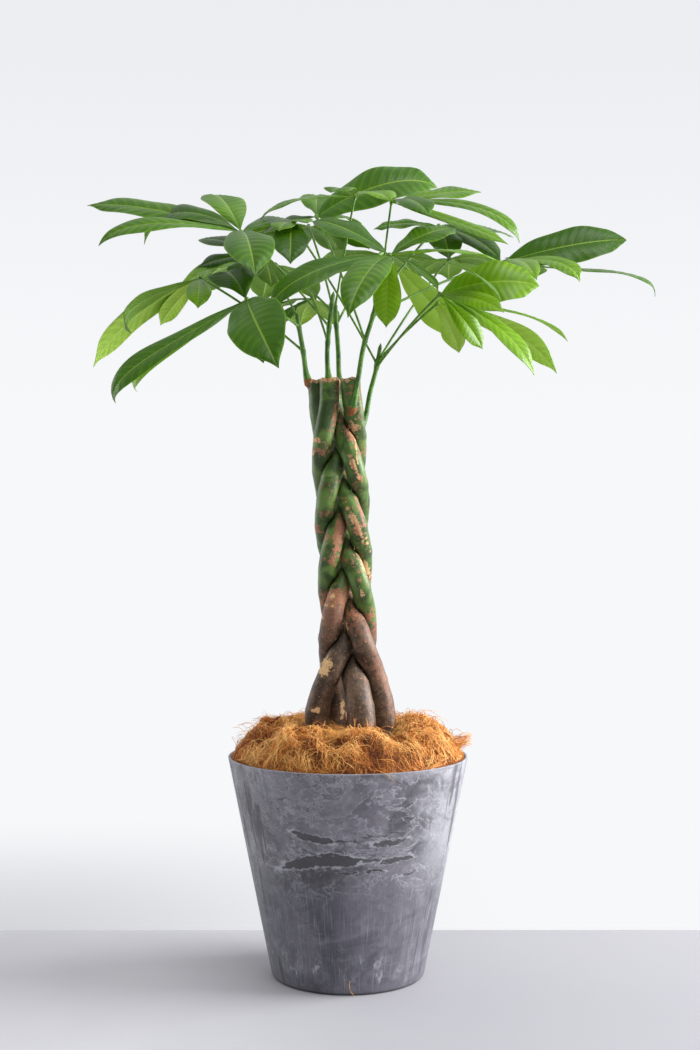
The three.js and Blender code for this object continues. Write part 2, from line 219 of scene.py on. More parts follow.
def hump(off: Array, width: float) -> Array:
    """1 in the middle, where the offset is 0, and falling off smoothly to both sides."""
    return np.exp(-((off / width) ** 2))


def turns(sides: int) -> Array:
    """The angles of the corners of a ring."""
    return np.arange(sides) * (FULL_TURN / sides)


def run_length(path: Array) -> Array:
    """How far each point of a path lies along it."""
    return np.concatenate([[0.0], np.cumsum(np.linalg.norm(np.diff(path, axis=0), axis=1))])


def waves(places: Array, pitch: float, seed: int) -> Array:
    """A smooth random surface between about -1 and 1, made of seeded sine waves.

    Args:
        places: an array whose last axis is x, y and z.
        pitch: the distance from crest to crest.
        seed: the number that the waves' directions are drawn from.

    Returns:
        The height of the surface at each place.
    """
    draw = np.random.default_rng(seed)
    total = np.zeros(places.shape[:-1])
    for _ in range(6):
        direction = unit(draw.normal(size=3))
        length = pitch * draw.uniform(0.7, 1.5)
        total += np.sin(places @ direction * (FULL_TURN / length) + draw.uniform(0, FULL_TURN))
    return total / 3.0


def spokes(firsts: Array, seconds: Array, sides: int) -> Array:
    """Directions spread evenly round each point, from its first axis over its second."""
    turn = turns(sides)[:, None]
    return np.cos(turn) * firsts[..., None, :] + np.sin(turn) * seconds[..., None, :]


def round_directions(path: Array, sides: int) -> Array:
    """The directions from a path to the corners of the rings about it, which never twist about it.

    Args:
        path: the points of the path, one in each row.
        sides: how many corners a ring has.

    Returns:
        An array of rings by sides by x, y and z.
    """
    tangents = unit(np.gradient(path, axis=0))
    across = np.array([1.0, 0.0, 0.0]) if abs(tangents[0][0]) < 0.8 else np.array([0.0, 1.0, 0.0])
    firsts = []
    for tangent in tangents:
        across = unit(across - across.dot(tangent) * tangent)
        firsts.append(across)
    return spokes(np.array(firsts), np.cross(tangents, firsts), sides)


def strand_places(length: Array, radius: Array, sides: int, offset: float) -> Array:
    """Pattern places in metres, across a piece in x and y and along it in z, moved by an offset in x."""
    x, y = polar(radius[:, None], turns(sides))
    return np.stack([x + offset, y, np.broadcast_to(length[:, None], x.shape)], axis=-1) * MM


def bezier(corners: list[Array], share: Array) -> Array:
    """Points of a Bezier curve.

    Args:
        corners: the corners of the curve.
        share: the places on it, from 0 to 1.

    Returns:
        One point in each row.
    """
    points = [np.repeat(corner[None, :], len(share), axis=0) for corner in corners]
    t = share[:, None]
    while len(points) > 1:
        points = [(1 - t) * a + t * b for a, b in zip(points, points[1:])]
    return points[0]


def smooth_path(knots: object, count: int) -> Array:
    """Points of a centripetal Catmull-Rom curve through the knots, the same number in each stretch.

    Args:
        knots: the points that the curve passes through.
        count: how many steps the whole curve is cut into.

    Returns:
        One point in each row.
    """
    knots = np.array(knots, dtype=float)
    ends = np.vstack([2 * knots[0] - knots[1], knots, 2 * knots[-1] - knots[-2]])
    points = []
    for place in np.linspace(0, len(knots) - 1, count + 1):
        low = min(int(place), len(knots) - 2)
        t = place - low
        p0, p1, p2, p3 = ends[low:low + 4]
        d0, d1, d2 = (np.linalg.norm(b - a) ** 0.5 for a, b in ((p0, p1), (p1, p2), (p2, p3)))
        m1 = ((p1 - p0) / d0 - (p2 - p0) / (d0 + d1) + (p2 - p1) / d1) * d1
        m2 = ((p2 - p1) / d1 - (p3 - p1) / (d1 + d2) + (p3 - p2) / d2) * d1
        points.append((2 * t**3 - 3 * t**2 + 1) * p1 + (t**3 - 2 * t**2 + t) * m1
                      + (3 * t**2 - 2 * t**3) * p2 + (t**3 - t**2) * m2)
    return np.array(points)


@dataclass
class RingTemplate:
    """A closed tube of rings, modelled once and copied into every piece that is built of rings."""

    sides: int
    rings: int
    source: Piece = field(init=False)
    ring_of: Array = field(init=False)
    side_of: Array = field(init=False)

    def __post_init__(self) -> None:
        """Extrude a filled circle upwards, one unit for each ring."""
        start_clean()
        bpy.ops.mesh.primitive_circle_add(vertices=self.sides, radius=1.0, fill_type="NGON")
        self.source = bpy.context.object
        bpy.ops.object.mode_set(mode="EDIT")
        bpy.ops.mesh.select_all(action="SELECT")
        for _ in range(self.rings - 1):
            bpy.ops.mesh.extrude_region_move(TRANSFORM_OT_translate={"value": (0.0, 0.0, 1.0)})
        close_up()
        places = read_places(self.source.data)
        self.ring_of = np.rint(places[:, 2]).astype(int)
        turn = np.arctan2(places[:, 1], places[:, 0]) / FULL_TURN * self.sides
        self.side_of = np.rint(turn).astype(int) % self.sides

    def formed(self, name: str, points: Array, **values: Array) -> Piece:
        """A copy of the tube whose rings lie where the points say.

        Args:
            name: the name of the new piece.
            points: rings by sides by x, y and z, in millimetres.
            values: attributes by name, rings by sides or rings by sides by three.

        Returns:
            The new object, with a mesh of its own.
        """
        piece = link(name, self.source.data.copy())
        write_places(piece.data, points[self.ring_of, self.side_of] * MM)
        for key, each in values.items():
            write_attribute(piece.data, key, each[self.ring_of, self.side_of])
        return piece

    def discard(self) -> None:
        """Remove the template once its copies are made."""
        bpy.data.objects.remove(self.source)


# Helpers for materials


def srgb(red: int, green: int, blue: int) -> Colour:
    """A colour as seen on a screen, from 0 to 255, turned into the linear values that shaders take."""
    parts = [value / 255 for value in (red, green, blue)]
    return (*(p / 12.92 if p <= 0.04045 else ((p + 0.055) / 1.055) ** 2.4 for p in parts), 1.0)


class Value:
    """What a node puts out. Sums and products of values are written as usual and become nodes."""

    def __init__(self, graph: "Graph", socket: Socket) -> None:
        """Keep the socket and its graph."""
        self.graph, self.socket = graph, socket

    def __add__(self, other: object) -> "Value":
        """The sum."""
        return self.graph.math("ADD", self, other)

    def __sub__(self, other: object) -> "Value":
        """The difference."""
        return self.graph.math("SUBTRACT", self, other)

    def __rsub__(self, other: object) -> "Value":
        """A plain number less this value."""
        return self.graph.math("SUBTRACT", other, self)

    def __mul__(self, other: object) -> "Value":
        """The product."""
        return self.graph.math("MULTIPLY", self, other)

    def __truediv__(self, other: object) -> "Value":
        """The quotient."""
        return self.graph.math("DIVIDE", self, other)

    def __abs__(self) -> "Value":
        """The value without its sign."""
        return self.graph.math("ABSOLUTE", self)

    def most(self, other: object) -> "Value":
        """The greater of two values."""
        return self.graph.math("MAXIMUM", self, other)

    def rise(self, low: float, high: float, start: float = 0.0, end: float = 1.0) -> "Value":
        """Rise smoothly from start, where the value is low, to end, where it is high."""
        return self.graph.out(
            "ShaderNodeMapRange", self, low, high, start, end, interpolation_type="SMOOTHSTEP")


class Graph:
    """A node tree that is being wired, with a short call for each kind of step."""

    def __init__(self, tree: Tree) -> None:
        """Start on a material's, a world's or a group's tree."""
        self.tree = tree

    def feed(self, socket: Socket, value: object) -> None:
        """Link an input or set its plain value.

        Args:
            socket: the input.
            value: a value of the graph, a plain one, or None to leave it.
        """
        if isinstance(value, Value):
            self.tree.links.new(value.socket, socket)
        elif value is not None:
            socket.default_value = value

    def fill(self, node: bpy.types.Node, inputs: dict[object, object]) -> None:
        """Feed inputs of a node, each by its name or its number."""
        for key, value in inputs.items():
            self.feed(node.inputs[key], value)

    def add(self, kind: str, *values: object, inputs: dict | None = None,
            **settings: object) -> bpy.types.Node:
        """Add a node.

        Args:
            kind: the node's type.
            values: what its first inputs get, in order.
            inputs: what others get, by name or number.
            settings: properties of the node.

        Returns:
            The new node.
        """
        node = self.tree.nodes.new(kind)
        for key, setting in settings.items():
            setattr(node, key, setting)
        self.fill(node, {**dict(enumerate(values)), **(inputs or {})})
        return node

    def out(self, kind: str, *values: object, **settings: object) -> Value:
        """Add a node as add() does, and return what it puts out first."""
        return Value(self, self.add(kind, *values, **settings).outputs[0])

    def place(self, kind: str = "Object") -> Value:
        """The place on the object, in metres, or another kind of place."""
        return Value(self, self.add("ShaderNodeTexCoord").outputs[kind])

    def attribute(self, name: str, kind: str = "Fac") -> Value:
        """One of the piece's own attributes, as a number or as a Vector."""
        return Value(self, self.add("ShaderNodeAttribute", attribute_name=name).outputs[kind])

    def split(self, vector: Value) -> list[Value]:
        """The three parts of a vector."""
        return [Value(self, socket) for socket in self.add("ShaderNodeSeparateXYZ", vector).outputs]

    def math(self, operation: str, first: object, second: object = 0.0) -> Value:
        """One arithmetic step."""
        return self.out("ShaderNodeMath", first, second, operation=operation)

    def noise(self, place: Value, scale: float, detail: float = 3.0, rough: float = 0.5, bend: float = 0.0,
              across: float = 1.0, up: float = 1.0) -> Value:
        """Smooth noise from 0 to 1.

        Args:
            place: where it is read.
            scale: how many lumps fit in one unit.
            detail: how many finer layers it has.
            rough: how strong the finer layers are.
            bend: how far it is drawn out into swirls.
            across: how much closer its lumps lie in x and y.
            up: how much closer they lie in z.

        Returns:
            The noise value.
        """
        if (across, up) != (1.0, 1.0):
            place = self.out("ShaderNodeVectorMath", place, (across, across, up), operation="MULTIPLY")
        return self.out("ShaderNodeTexNoise", inputs={
            "Vector": place, "Scale": scale, "Detail": detail, "Roughness": rough, "Distortion": bend})

    def blend(self, share: object, first: object, second: object) -> Value:
        """A colour between two colours, by the share of the second."""
        node = self.add("ShaderNodeMix", inputs={0: share, 6: first, 7: second}, data_type="RGBA")
        return Value(self, node.outputs[2])

    def ramp(self, value: Value, *stops: tuple[float, Colour]) -> Value:
        """A colour that runs through stops.

        Args:
            value: how far it runs, from 0 to 1.
            stops: the place and the colour of each stop.

        Returns:
            The colour.
        """
        node = self.add("ShaderNodeValToRGB", value)
        elements = node.color_ramp.elements
        while len(elements) < len(stops):
            elements.new(0.5)
        for element, (position, colour) in zip(elements, stops):
            element.position = position
            element.color = colour
        return Value(self, node.outputs[0])

    def bump(self, height: Value, depth: float, under: Value | None = None) -> Value:
        """A normal that follows a height, so many millimetres deep, and lies on the normal under it."""
        return self.out("ShaderNodeBump", inputs={"Height": height, "Distance": depth * MM, "Normal": under})

    def use(self, group: Tree, **values: object) -> dict[str, Value]:
        """Place a node group, with its inputs by name, and return its outputs by name."""
        node = self.add("ShaderNodeGroup", node_tree=group, inputs=values)
        return {socket.name: Value(self, socket) for socket in node.outputs}


# Effects that several materials use


def new_group(name: str, place: str, numbers: str, outputs: str) -> tuple[Graph, dict[str, Value], dict]:
    """Start a shader node group.

    Args:
        name: the group's name.
        place: the name of its vector input, or nothing.
        numbers: the names of its number inputs.
        outputs: the names of its outputs, which are all numbers.

    Returns:
        Its graph, its inputs as values to read, and its outputs as sockets to feed.
    """
    tree = bpy.data.node_groups.new(name, "ShaderNodeTree")
    for keys, way, kind in (
            (place, "INPUT", "Vector"), (numbers, "INPUT", "Float"), (outputs, "OUTPUT", "Float")):
        for key in keys.split():
            tree.interface.new_socket(name=key, in_out=way, socket_type=f"NodeSocket{kind}")
    graph = Graph(tree)
    entry = graph.add("NodeGroupInput")
    leave = graph.add("NodeGroupOutput")
    return graph, {s.name: Value(graph, s) for s in entry.outputs}, {s.name: s for s in leave.inputs}


def mottle_group() -> Tree:
    """Soft blotches and fine grain.

    Returns:
        The group.
    """
    graph, given, out = new_group("mottle", "Place", "Blotch Grain", "Blotch Grain")
    graph.feed(out["Blotch"], graph.noise(given["Place"], given["Blotch"], 4.0, 0.55, 0.6))
    graph.feed(out["Grain"], graph.noise(given["Place"], given["Grain"], 3.0, 0.6))
    return graph.tree


def torn_patch_group() -> Tree:
    """A long hollow with an arched upper edge and a ragged outline, and the lip round it.

    Returns:
        The group.
    """
    graph, given, out = new_group(
        "torn_patch", "", "Along Height Centre Level Reach Drop Arch Tilt", "Hollow Lip")
    across = (given["Along"] - given["Centre"]) / given["Reach"]
    far = across * across
    middle = given["Level"] + given["Arch"] * (1.0 - far) + given["Tilt"] * across
    above = (given["Height"] - middle) / given["Drop"]
    edge = far + above * above
    graph.feed(out["Hollow"], edge.rise(1.12, 0.96))
    graph.feed(out["Lip"], edge.rise(0.96, 1.12) * edge.rise(2.2, 1.12))
    return graph.tree


def vein_group() -> Tree:
    """The midrib, the side veins, and the painted light and shade of the pleats between them, from a blade's
    own map.

    Returns:
        The group.
    """
    graph, given, out = new_group("veins", "Map", "Count", "Midrib Side Pleat Margin")
    along, across, _ = graph.split(given["Map"])
    off = abs(across * 2.0 - 1.0)
    phase = (along - graph.math("POWER", off, VEIN_CURVE) * VEIN_LEAD) * given["Count"]
    beside = abs(graph.math("FRACT", phase) - 0.5)
    graph.feed(out["Pleat"], beside.rise(0.5, 0.0))
    graph.feed(out["Side"], beside.rise(0.40, 0.49) * off.rise(1.0, 0.1))
    graph.feed(out["Midrib"], (off / (along * 0.016 + 0.017)).rise(1.9, 0.9))
    graph.feed(out["Margin"], off.rise(0.93, 0.985))
    return graph.tree


def scab_group() -> Tree:
    """Ragged scabs: streaks that run along a stem, rings that run across it, and single specks.

    Returns:
        The group.
    """
    graph, given, out = new_group("scabs", "Strand", "Spread Streaks Rings", "Scab Speck")
    strand = given["Strand"]
    fine = graph.noise(strand, 230.0, 4.0, 0.65, across=0.8, up=0.9)
    masks = []
    for key, across, up in (("Streaks", 1.3, 0.36), ("Rings", 0.45, 1.5)):
        coarse = graph.noise(strand, given["Spread"], 2.0, across=across, up=up)
        masks.append((coarse * 0.5 + fine * 0.5 - (0.66 - given[key] * 0.18)).rise(0.0, 0.05))
    graph.feed(out["Scab"], masks[0].most(masks[1]))
    graph.feed(out["Speck"], graph.noise(strand, 330.0, 1.0, 0.4).rise(0.68, 0.74))
    return graph.tree


@dataclass(frozen=True)
class Effects:
    """The shader node groups that several materials use, each built once."""

    mottle: Tree = field(default_factory=mottle_group)
    torn_patch: Tree = field(default_factory=torn_patch_group)
    veins: Tree = field(default_factory=vein_group)
    scabs: Tree = field(default_factory=scab_group)


class Paint(Graph):
    """A material in the making, with the colour that it has so far."""

    def __init__(self, name: str, effects: Effects | None = None) -> None:
        """Start a material with one shader.

        Args:
            name: the material's name.
            effects: the shared node groups, where it uses them.
        """
        self.material = bpy.data.materials.new(name)
        self.material.use_nodes = True
        super().__init__(self.material.node_tree)
        self.shader = self.tree.nodes["Principled BSDF"]
        self.effects = effects
        self.tone: object = None

    def mottle(self, place: Value, blotch: float, grain: float) -> list[Value]:
        """Soft blotches and fine grain of the given closeness."""
        return list(self.use(self.effects.mottle, Place=place, Blotch=blotch, Grain=grain).values())

    def coat(self, colour: object, mask: Value, share: float = 1.0) -> None:
        """Lay a colour over the colour so far, where the mask says and as strongly as the share says."""
        self.tone = self.blend(mask if share == 1.0 else mask * share, self.tone, colour)

    def finish(self, rough: object, normal: Value | None = None, specular: float | None = None) -> None:
        """Feed the shader the colour so far, its roughness, its normal and how much it mirrors."""
        self.fill(self.shader, {
            "Base Color": self.tone, "Roughness": rough, "Normal": normal, "Specular IOR Level": specular})

    def mix_in(self, share: object, other: Value) -> None:
        """Let a second shader show through the first."""
        both = self.out("ShaderNodeMixShader", share, Value(self, self.shader.outputs[0]), other)
        self.feed(self.tree.nodes["Material Output"].inputs["Surface"], both)


class Finish:
    """A finish of the plant or its pot. Each kind has its name, its colours and its way to wire them."""

    name: str

    def build(self, effects: Effects) -> Material:
        """Make the material.

        Args:
            effects: the shared node groups.

        Returns:
            The finished material.
        """
        paint = Paint(self.name, effects)
        self.wire(paint)
        return paint.material

    def wire(self, paint: Paint) -> None:
        """Wire the material, which each kind does in its own way."""
        raise NotImplementedError


# Finishes


@dataclass(frozen=True)
class TornPatch:
    """One torn hollow in the pot's skin, in millimetres on the unrolled wall."""

    centre: float
    level: float
    reach: float
    drop: float
    arch: float = 0.0
    tilt: float = 0.0


TORN_PATCHES = (
    # The big arched hollow, and its thinner end to the right
    TornPatch(-37, 178, 57, 8.0, 6, 7), TornPatch(32, 186, 14, 2.4), TornPatch(69, 182, 24, 3.6, 1.5, 2),
    # The row over it
    TornPatch(-46, 215, 26, 5.0, -1, -5.5), TornPatch(-5, 211, 20, 1.3), TornPatch(55, 208, 25, 3.2, -2, 1.5),
    TornPatch(50, 220, 34, 0.9, -2, 3),
    # Small tears under it and to its upper right
    TornPatch(-2, 169, 10, 1.9), TornPatch(36, 170, 13, 2.4), TornPatch(87, 163, 14, 1.5, 0, 3),
    TornPatch(78, 256, 9, 2.0, 0, 4), TornPatch(82, 238, 8, 1.8), TornPatch(-82, 262, 9, 1.2, 3),
)


@dataclass(frozen=True)
class MottledStone(Finish):
    """Cool grey stone-like skin with clouds, torn hollows with pale lips and brushed streaks, with painted
    light on its sides, a painted highlight round the rim, and painted shade inside and at the foot.
    """

    name: str = "mottled_stone"
    dark: Colour = srgb(66, 64, 70)
    bluish: Colour = srgb(80, 82, 94)
    middle: Colour = srgb(110, 107, 115)
    pale: Colour = srgb(182, 182, 190)
    # The colour of the torn hollows, also laid on as painted shade inside the pot and as a painted contact
    # shadow at its foot
    hollow: Colour = srgb(67, 67, 71)
    # The pale bluish colour of the painted highlight round the rim
    edge: Colour = srgb(146, 152, 164)
    wrap_radius: float = 0.145
    base_radius: float = 0.1045
    taper: float = 0.0605 / 0.3

    def wire(self, paint: Paint) -> None:
        """Wire the material.

        Args:
            paint: the material in the making.
        """
        place = paint.place()
        x, y, z = paint.split(place)
        turn = paint.math("ARCTAN2", x, y * -1.0)
        drawn_out = paint.out("ShaderNodeVectorMath", place, (1.0, 1.0, 0.8), operation="MULTIPLY")
        blotch, grain = paint.mottle(drawn_out, 9.0, 300.0)
        swirl = paint.noise(place, 15.0, 9.0, 0.64, 0.9, up=1.3)
        paint.tone = paint.blend(blotch.rise(0.4, 0.6), self.dark, self.middle)
        # Painted light: the upper right side and the left side are paler where the light falls on them
        paint.coat(self.pale, turn.rise(0.5, 0.95) * z.rise(0.1, 0.2), 0.5)
        paint.coat(self.pale, turn.rise(-0.4, -1.0, 0.0, 0.22))
        paint.coat(self.pale, swirl.rise(0.48, 0.75), 0.34)
        paint.coat(self.dark, paint.noise(place, 13.0, 5.0, 0.6, 0.8, up=1.7).rise(0.5, 0.64), 0.6)
        crust, crust_edge = self.crust(paint, place, z)
        paint.coat(self.pale, crust, 0.11)
        paint.coat(self.pale, crust_edge, 0.5)
        fume = paint.noise(place, 60.0, 6.0, 0.7, 1.2, up=1.2)
        paint.coat(self.pale, fume.rise(0.46, 0.8), 0.36)
        paint.coat(self.dark, fume.rise(0.5, 0.25), 0.4)
        self.brush(paint, turn, z)
        hollow, lip = self.torn(paint, place, turn, z)
        paint.coat(self.pale, lip * fume.rise(0.34, 0.56, 0.2, 0.85))
        paint.coat(self.hollow, hollow, 0.9)
        # Painted shade on the inner wall, a painted bluish highlight round the rim and a painted contact
        # shadow at the foot
        inner_wall_shade = z * self.taper + self.base_radius - paint.math("SQRT", x * x + y * y)
        paint.coat(self.hollow, inner_wall_shade.rise(0.002, 0.003), 0.6)
        paint.coat(self.edge, z.rise(0.2984, 0.2994), 0.5)
        paint.coat(self.hollow, z.rise(0.005, 0.0015), 0.7)
        relief = lip * 0.35 + crust * 0.3 - hollow * 0.7 + swirl * 0.4
        paint.finish(swirl.rise(0.3, 0.7, 0.6, 0.42), paint.bump(grain, 0.12, paint.bump(relief, 1.0)))

    def crust(self, paint: Paint, place: Value, z: Value) -> tuple[Value, Value]:
        """Thin plaster-like skins with crisp edges, mostly on the pot's upper two thirds.

        Args:
            paint: the material in the making.
            place: the place on the pot.
            z: the height on it.

        Returns:
            The masks of the skins and of their pale edges.
        """
        upper = z.rise(0.10, 0.17)
        gathers = paint.noise(place, 7.0, 2.0)
        level = paint.noise(place, 21.0, 10.0, 0.66, 0.5, up=1.5) + (gathers - 0.5) * 0.3
        curls = paint.noise(place, 26.0, 5.0, 0.55, 2.6, up=1.3)
        hair = abs(curls - 0.5).rise(0.012, 0.003) * gathers.rise(0.46, 0.58)
        return level.rise(0.505, 0.52) * upper, abs(level - 0.515).rise(0.018, 0.004).most(hair) * upper

    def brush(self, paint: Paint, turn: Value, z: Value) -> None:
        """Faint upright brush lines below, dark stains down the sides and pale drips at the foot.

        Args:
            paint: the material in the making.
            turn: the angle round the pot.
            z: the height on it.
        """
        def lines(fine: float, tall: float, seed: float, detail: float) -> Value:
            """Noise that is drawn out upwards."""
            place = paint.out("ShaderNodeCombineXYZ", turn * fine, z * tall, seed)
            return paint.noise(place, 1.0, detail, 0.62, 0.3)

        lower = z.rise(0.175, 0.12)
        paint.coat(self.bluish, lower, 0.34)
        paint.coat(self.pale, lines(60.0, 16.0, 0.0, 4.0).rise(0.5, 0.8) * lower, 0.4)
        paint.coat(self.dark, lines(9.0, 7.0, 3.0, 6.0).rise(0.52, 0.6) * abs(turn).rise(0.62, 0.9), 0.75)
        foot = z.rise(0.066, 0.034) * z.rise(0.004, 0.02)
        paint.coat(self.pale, lines(7.0, 26.0, 8.0, 7.0).rise(0.54, 0.66) * foot, 0.7)

    def torn(self, paint: Paint, place: Value, turn: Value, z: Value) -> tuple[Value, Value]:
        """The torn hollows and the lips round them.

        Args:
            paint: the material in the making.
            place: the place on the pot.
            turn: the angle round it.
            z: the height on it.

        Returns:
            The masks of the hollows and of the lips.
        """
        along = turn * self.wrap_radius + (paint.noise(place, 40.0, 6.0, 0.65, up=1.6) - 0.5) * 0.036
        height = z + (paint.noise(place, 70.0, 8.0, 0.68, up=1.6) - 0.5) * 0.024
        patches = [paint.use(paint.effects.torn_patch, Along=along, Height=height,
                             **{key.title(): size * MM for key, size in asdict(patch).items()})
                   for patch in TORN_PATCHES]
        hollow, lip = patches[0].values()
        for masks in patches[1:]:
            hollow, lip = hollow.most(masks["Hollow"]), lip.most(masks["Lip"])
        return hollow, lip


@dataclass(frozen=True)
class DampSoil(Finish):
    """Dark crumbly potting soil."""

    name: str = "damp_soil"
    dark: Colour = srgb(34, 26, 21)
    crumb: Colour = srgb(74, 56, 42)

    def wire(self, paint: Paint) -> None:
        """Wire the material.

        Args:
            paint: the material in the making.
        """
        blotch, grain = paint.mottle(paint.place(), 60.0, 420.0)
        paint.tone = paint.blend(grain.rise(0.42, 0.7), self.dark, self.crumb)
        paint.finish(grain.rise(0.3, 0.8, 0.98, 0.8), paint.bump(grain + blotch, 2.5))


@dataclass(frozen=True)
class CoirFibre(Finish):
    """Coconut fibre: single fibres from dark brown to bright orange, or the matted bed under them."""

    name: str = "coir_fibre"
    single: bool = True
    shade: Colour = srgb(92, 44, 18)
    brown: Colour = srgb(168, 94, 38)
    orange: Colour = srgb(226, 142, 54)
    straw: Colour = srgb(250, 196, 112)

    def wire(self, paint: Paint) -> None:
        """Wire the material.

        Args:
            paint: the material in the making.
        """
        place = paint.place()
        if self.single:
            blotch, _ = paint.mottle(place, 34.0, 500.0)
            # The tone holds each fibre's own colour and the painted shade of fibres that lie low in the pile
            # or at the sides of their locks
            value = paint.attribute("tone") + (blotch - 0.5) * 0.5
            rough, normal = value.rise(0.0, 1.0, 0.75, 0.5), None
        else:
            hair = paint.noise(place, 190.0, 6.0, 0.7, 2.4, up=1.6)
            # The bed is darker in the hollows: its own dark colour between few fibres, and painted shade
            value = hair.rise(0.35, 0.75) * 0.5 * paint.attribute("cover")
            rough, normal = hair.rise(0.2, 0.8, 0.95, 0.7), paint.bump(hair, 2.2)
        paint.tone = paint.ramp(
            value, (0.0, self.shade), (0.3, self.brown), (0.68, self.orange), (1.0, self.straw))
        paint.finish(rough, normal)


@dataclass(frozen=True)
class BraidBark(Finish):
    """Smooth green bark above, brown-grey bark below, with salmon scabs, ring marks and pale scars, painted
    shade in the creases between stems, and scab streaks that gather on the lit side, in part as a painted
    highlight.
    """

    name: str = "braid_bark"
    # The near-black of the painted shade in the creases between stems
    crevice: Colour = srgb(22, 24, 16)
    green_dark: Colour = srgb(52, 74, 34)
    green: Colour = srgb(96, 128, 58)
    brown_dark: Colour = srgb(58, 45, 34)
    brown: Colour = srgb(110, 87, 67)
    brown_pale: Colour = srgb(134, 108, 84)
    rust: Colour = srgb(130, 72, 48)
    salmon: Colour = srgb(188, 126, 98)
    ochre: Colour = srgb(224, 184, 132)

    def wire(self, paint: Paint) -> None:
        """Wire the material.

        Args:
            paint: the material in the making.
        """
        strand = paint.attribute("strand", "Vector")
        age, scar, crease = (paint.attribute(name) for name in ("age", "scar", "crease"))
        streaks, ring_share, _ = paint.split(paint.attribute("scabby", "Vector"))
        blotch, grain = paint.mottle(strand, 50.0, 900.0)
        rings = paint.noise(strand, 1.0, 4.0, 0.65, 0.2, across=14.0, up=520.0)
        flow = paint.noise(strand, 1.0, 4.0, 0.6, across=260.0, up=22.0)
        crumbs = paint.noise(strand, 210.0, 5.0, 0.7)
        ragged = paint.noise(strand, 120.0, 5.0, 0.65, up=1.6) - 0.5
        old = (age + ragged * 3.4).rise(-0.12, 0.12)
        near = abs(age).rise(1.5, 0.3)
        green = paint.blend(blotch.rise(0.35, 0.66), self.green_dark, self.green)
        green = paint.blend(flow.rise(0.48, 0.75) * 0.35, green, self.green_dark)
        paint.tone = paint.blend(blotch.rise(0.35, 0.66), self.brown_dark, self.brown)
        paint.coat(self.brown_dark, rings.rise(0.5, 0.68), 0.55)
        paint.coat(self.brown_pale, crumbs.rise(0.5, 0.68), 0.5)
        paint.coat(self.brown_dark, crumbs.rise(0.5, 0.34), 0.6)
        paint.tone = paint.blend(old, green, paint.tone)
        # The scab streaks are thicker on the side that faces the light, where they are in part a painted
        # highlight
        scabs = paint.use(paint.effects.scabs, Strand=strand, Spread=34.0, Streaks=streaks + near * 0.4 + 0.1,
                          Rings=ring_share + near * 0.75 + 0.2)
        fresh = scabs["Scab"] * old.rise(1.0, 0.0, 0.35, 1.0)
        paint.coat(paint.blend(grain.rise(0.35, 0.62), self.rust, self.salmon), fresh, 0.85)
        paint.coat(paint.blend(old, self.rust, self.salmon), scabs["Speck"], 0.75)
        bare = (scar + ragged * 4.0).rise(0.1, 0.4)
        pale = paint.blend((flow + old * 0.2).rise(0.38, 0.54), self.salmon, self.ochre)
        paint.coat(paint.blend(grain.rise(0.52, 0.66), pale, self.rust), bare)
        # Painted shade in the creases where the stems press together
        paint.coat(self.crevice, crease, 0.9)
        dull = fresh.most(bare)
        height = rings * old.rise(0.0, 1.0, 0.25, 0.8) + dull * 0.4 + grain * 0.15
        paint.finish(old.rise(0.0, 1.0, 0.36, 0.46) + dull.most(crease) * 0.2, paint.bump(height, 0.6), 0.36)


@dataclass(frozen=True)
class CutWood(Finish):
    """The dry fibrous end of a sawn stem, darker at its rim."""

    name: str = "cut_wood"
    pale: Colour = srgb(214, 184, 138)
    tan: Colour = srgb(168, 124, 82)
    rim: Colour = srgb(92, 66, 44)

    def wire(self, paint: Paint) -> None:
        """Wire the material.

        Args:
            paint: the material in the making.
        """
        blotch, grain = paint.mottle(paint.place(), 160.0, 1400.0)
        paint.tone = paint.blend(blotch.rise(0.35, 0.65), self.pale, self.tan)
        paint.coat(self.rim, grain.rise(0.55, 0.75))
        paint.coat(self.rim, paint.attribute("rim").rise(0.75, 1.0), 0.8)
        paint.finish(grain.rise(0.3, 0.7, 0.8, 0.95), paint.bump(grain, 0.8))


@dataclass(frozen=True)
class GreenStalk(Finish):
    """The skin of shoots and leaf stalks, with an orange-brown callus where a shoot leaves its stem."""

    name: str = "green_stalk"
    deep: Colour = srgb(48, 88, 24)
    fresh: Colour = srgb(88, 138, 40)
    callus: Colour = srgb(172, 106, 58)
    dark: Colour = srgb(70, 44, 28)

    def wire(self, paint: Paint) -> None:
        """Wire the material.

        Args:
            paint: the material in the making.
        """
        strand = paint.attribute("strand", "Vector")
        blotch, grain = paint.mottle(strand, 90.0, 1500.0)
        flow = paint.noise(strand, 1.0, 3.0, across=700.0, up=40.0)
        paint.tone = paint.blend((blotch + flow).rise(0.75, 1.2), self.deep, self.fresh)
        scabs = paint.use(paint.effects.scabs, Strand=strand, Spread=90.0, Streaks=0.0, Rings=0.0)
        paint.coat(self.callus, scabs["Speck"], 0.35)
        corky = (paint.attribute("age") + (blotch - 0.5) * 0.8).rise(0.42, 0.58)
        paint.coat(paint.blend(grain.rise(0.45, 0.65), self.callus, self.dark), corky)
        paint.finish(corky.rise(0.0, 1.0, 0.48, 0.8), paint.bump(corky * grain + flow * 0.2, 0.6))


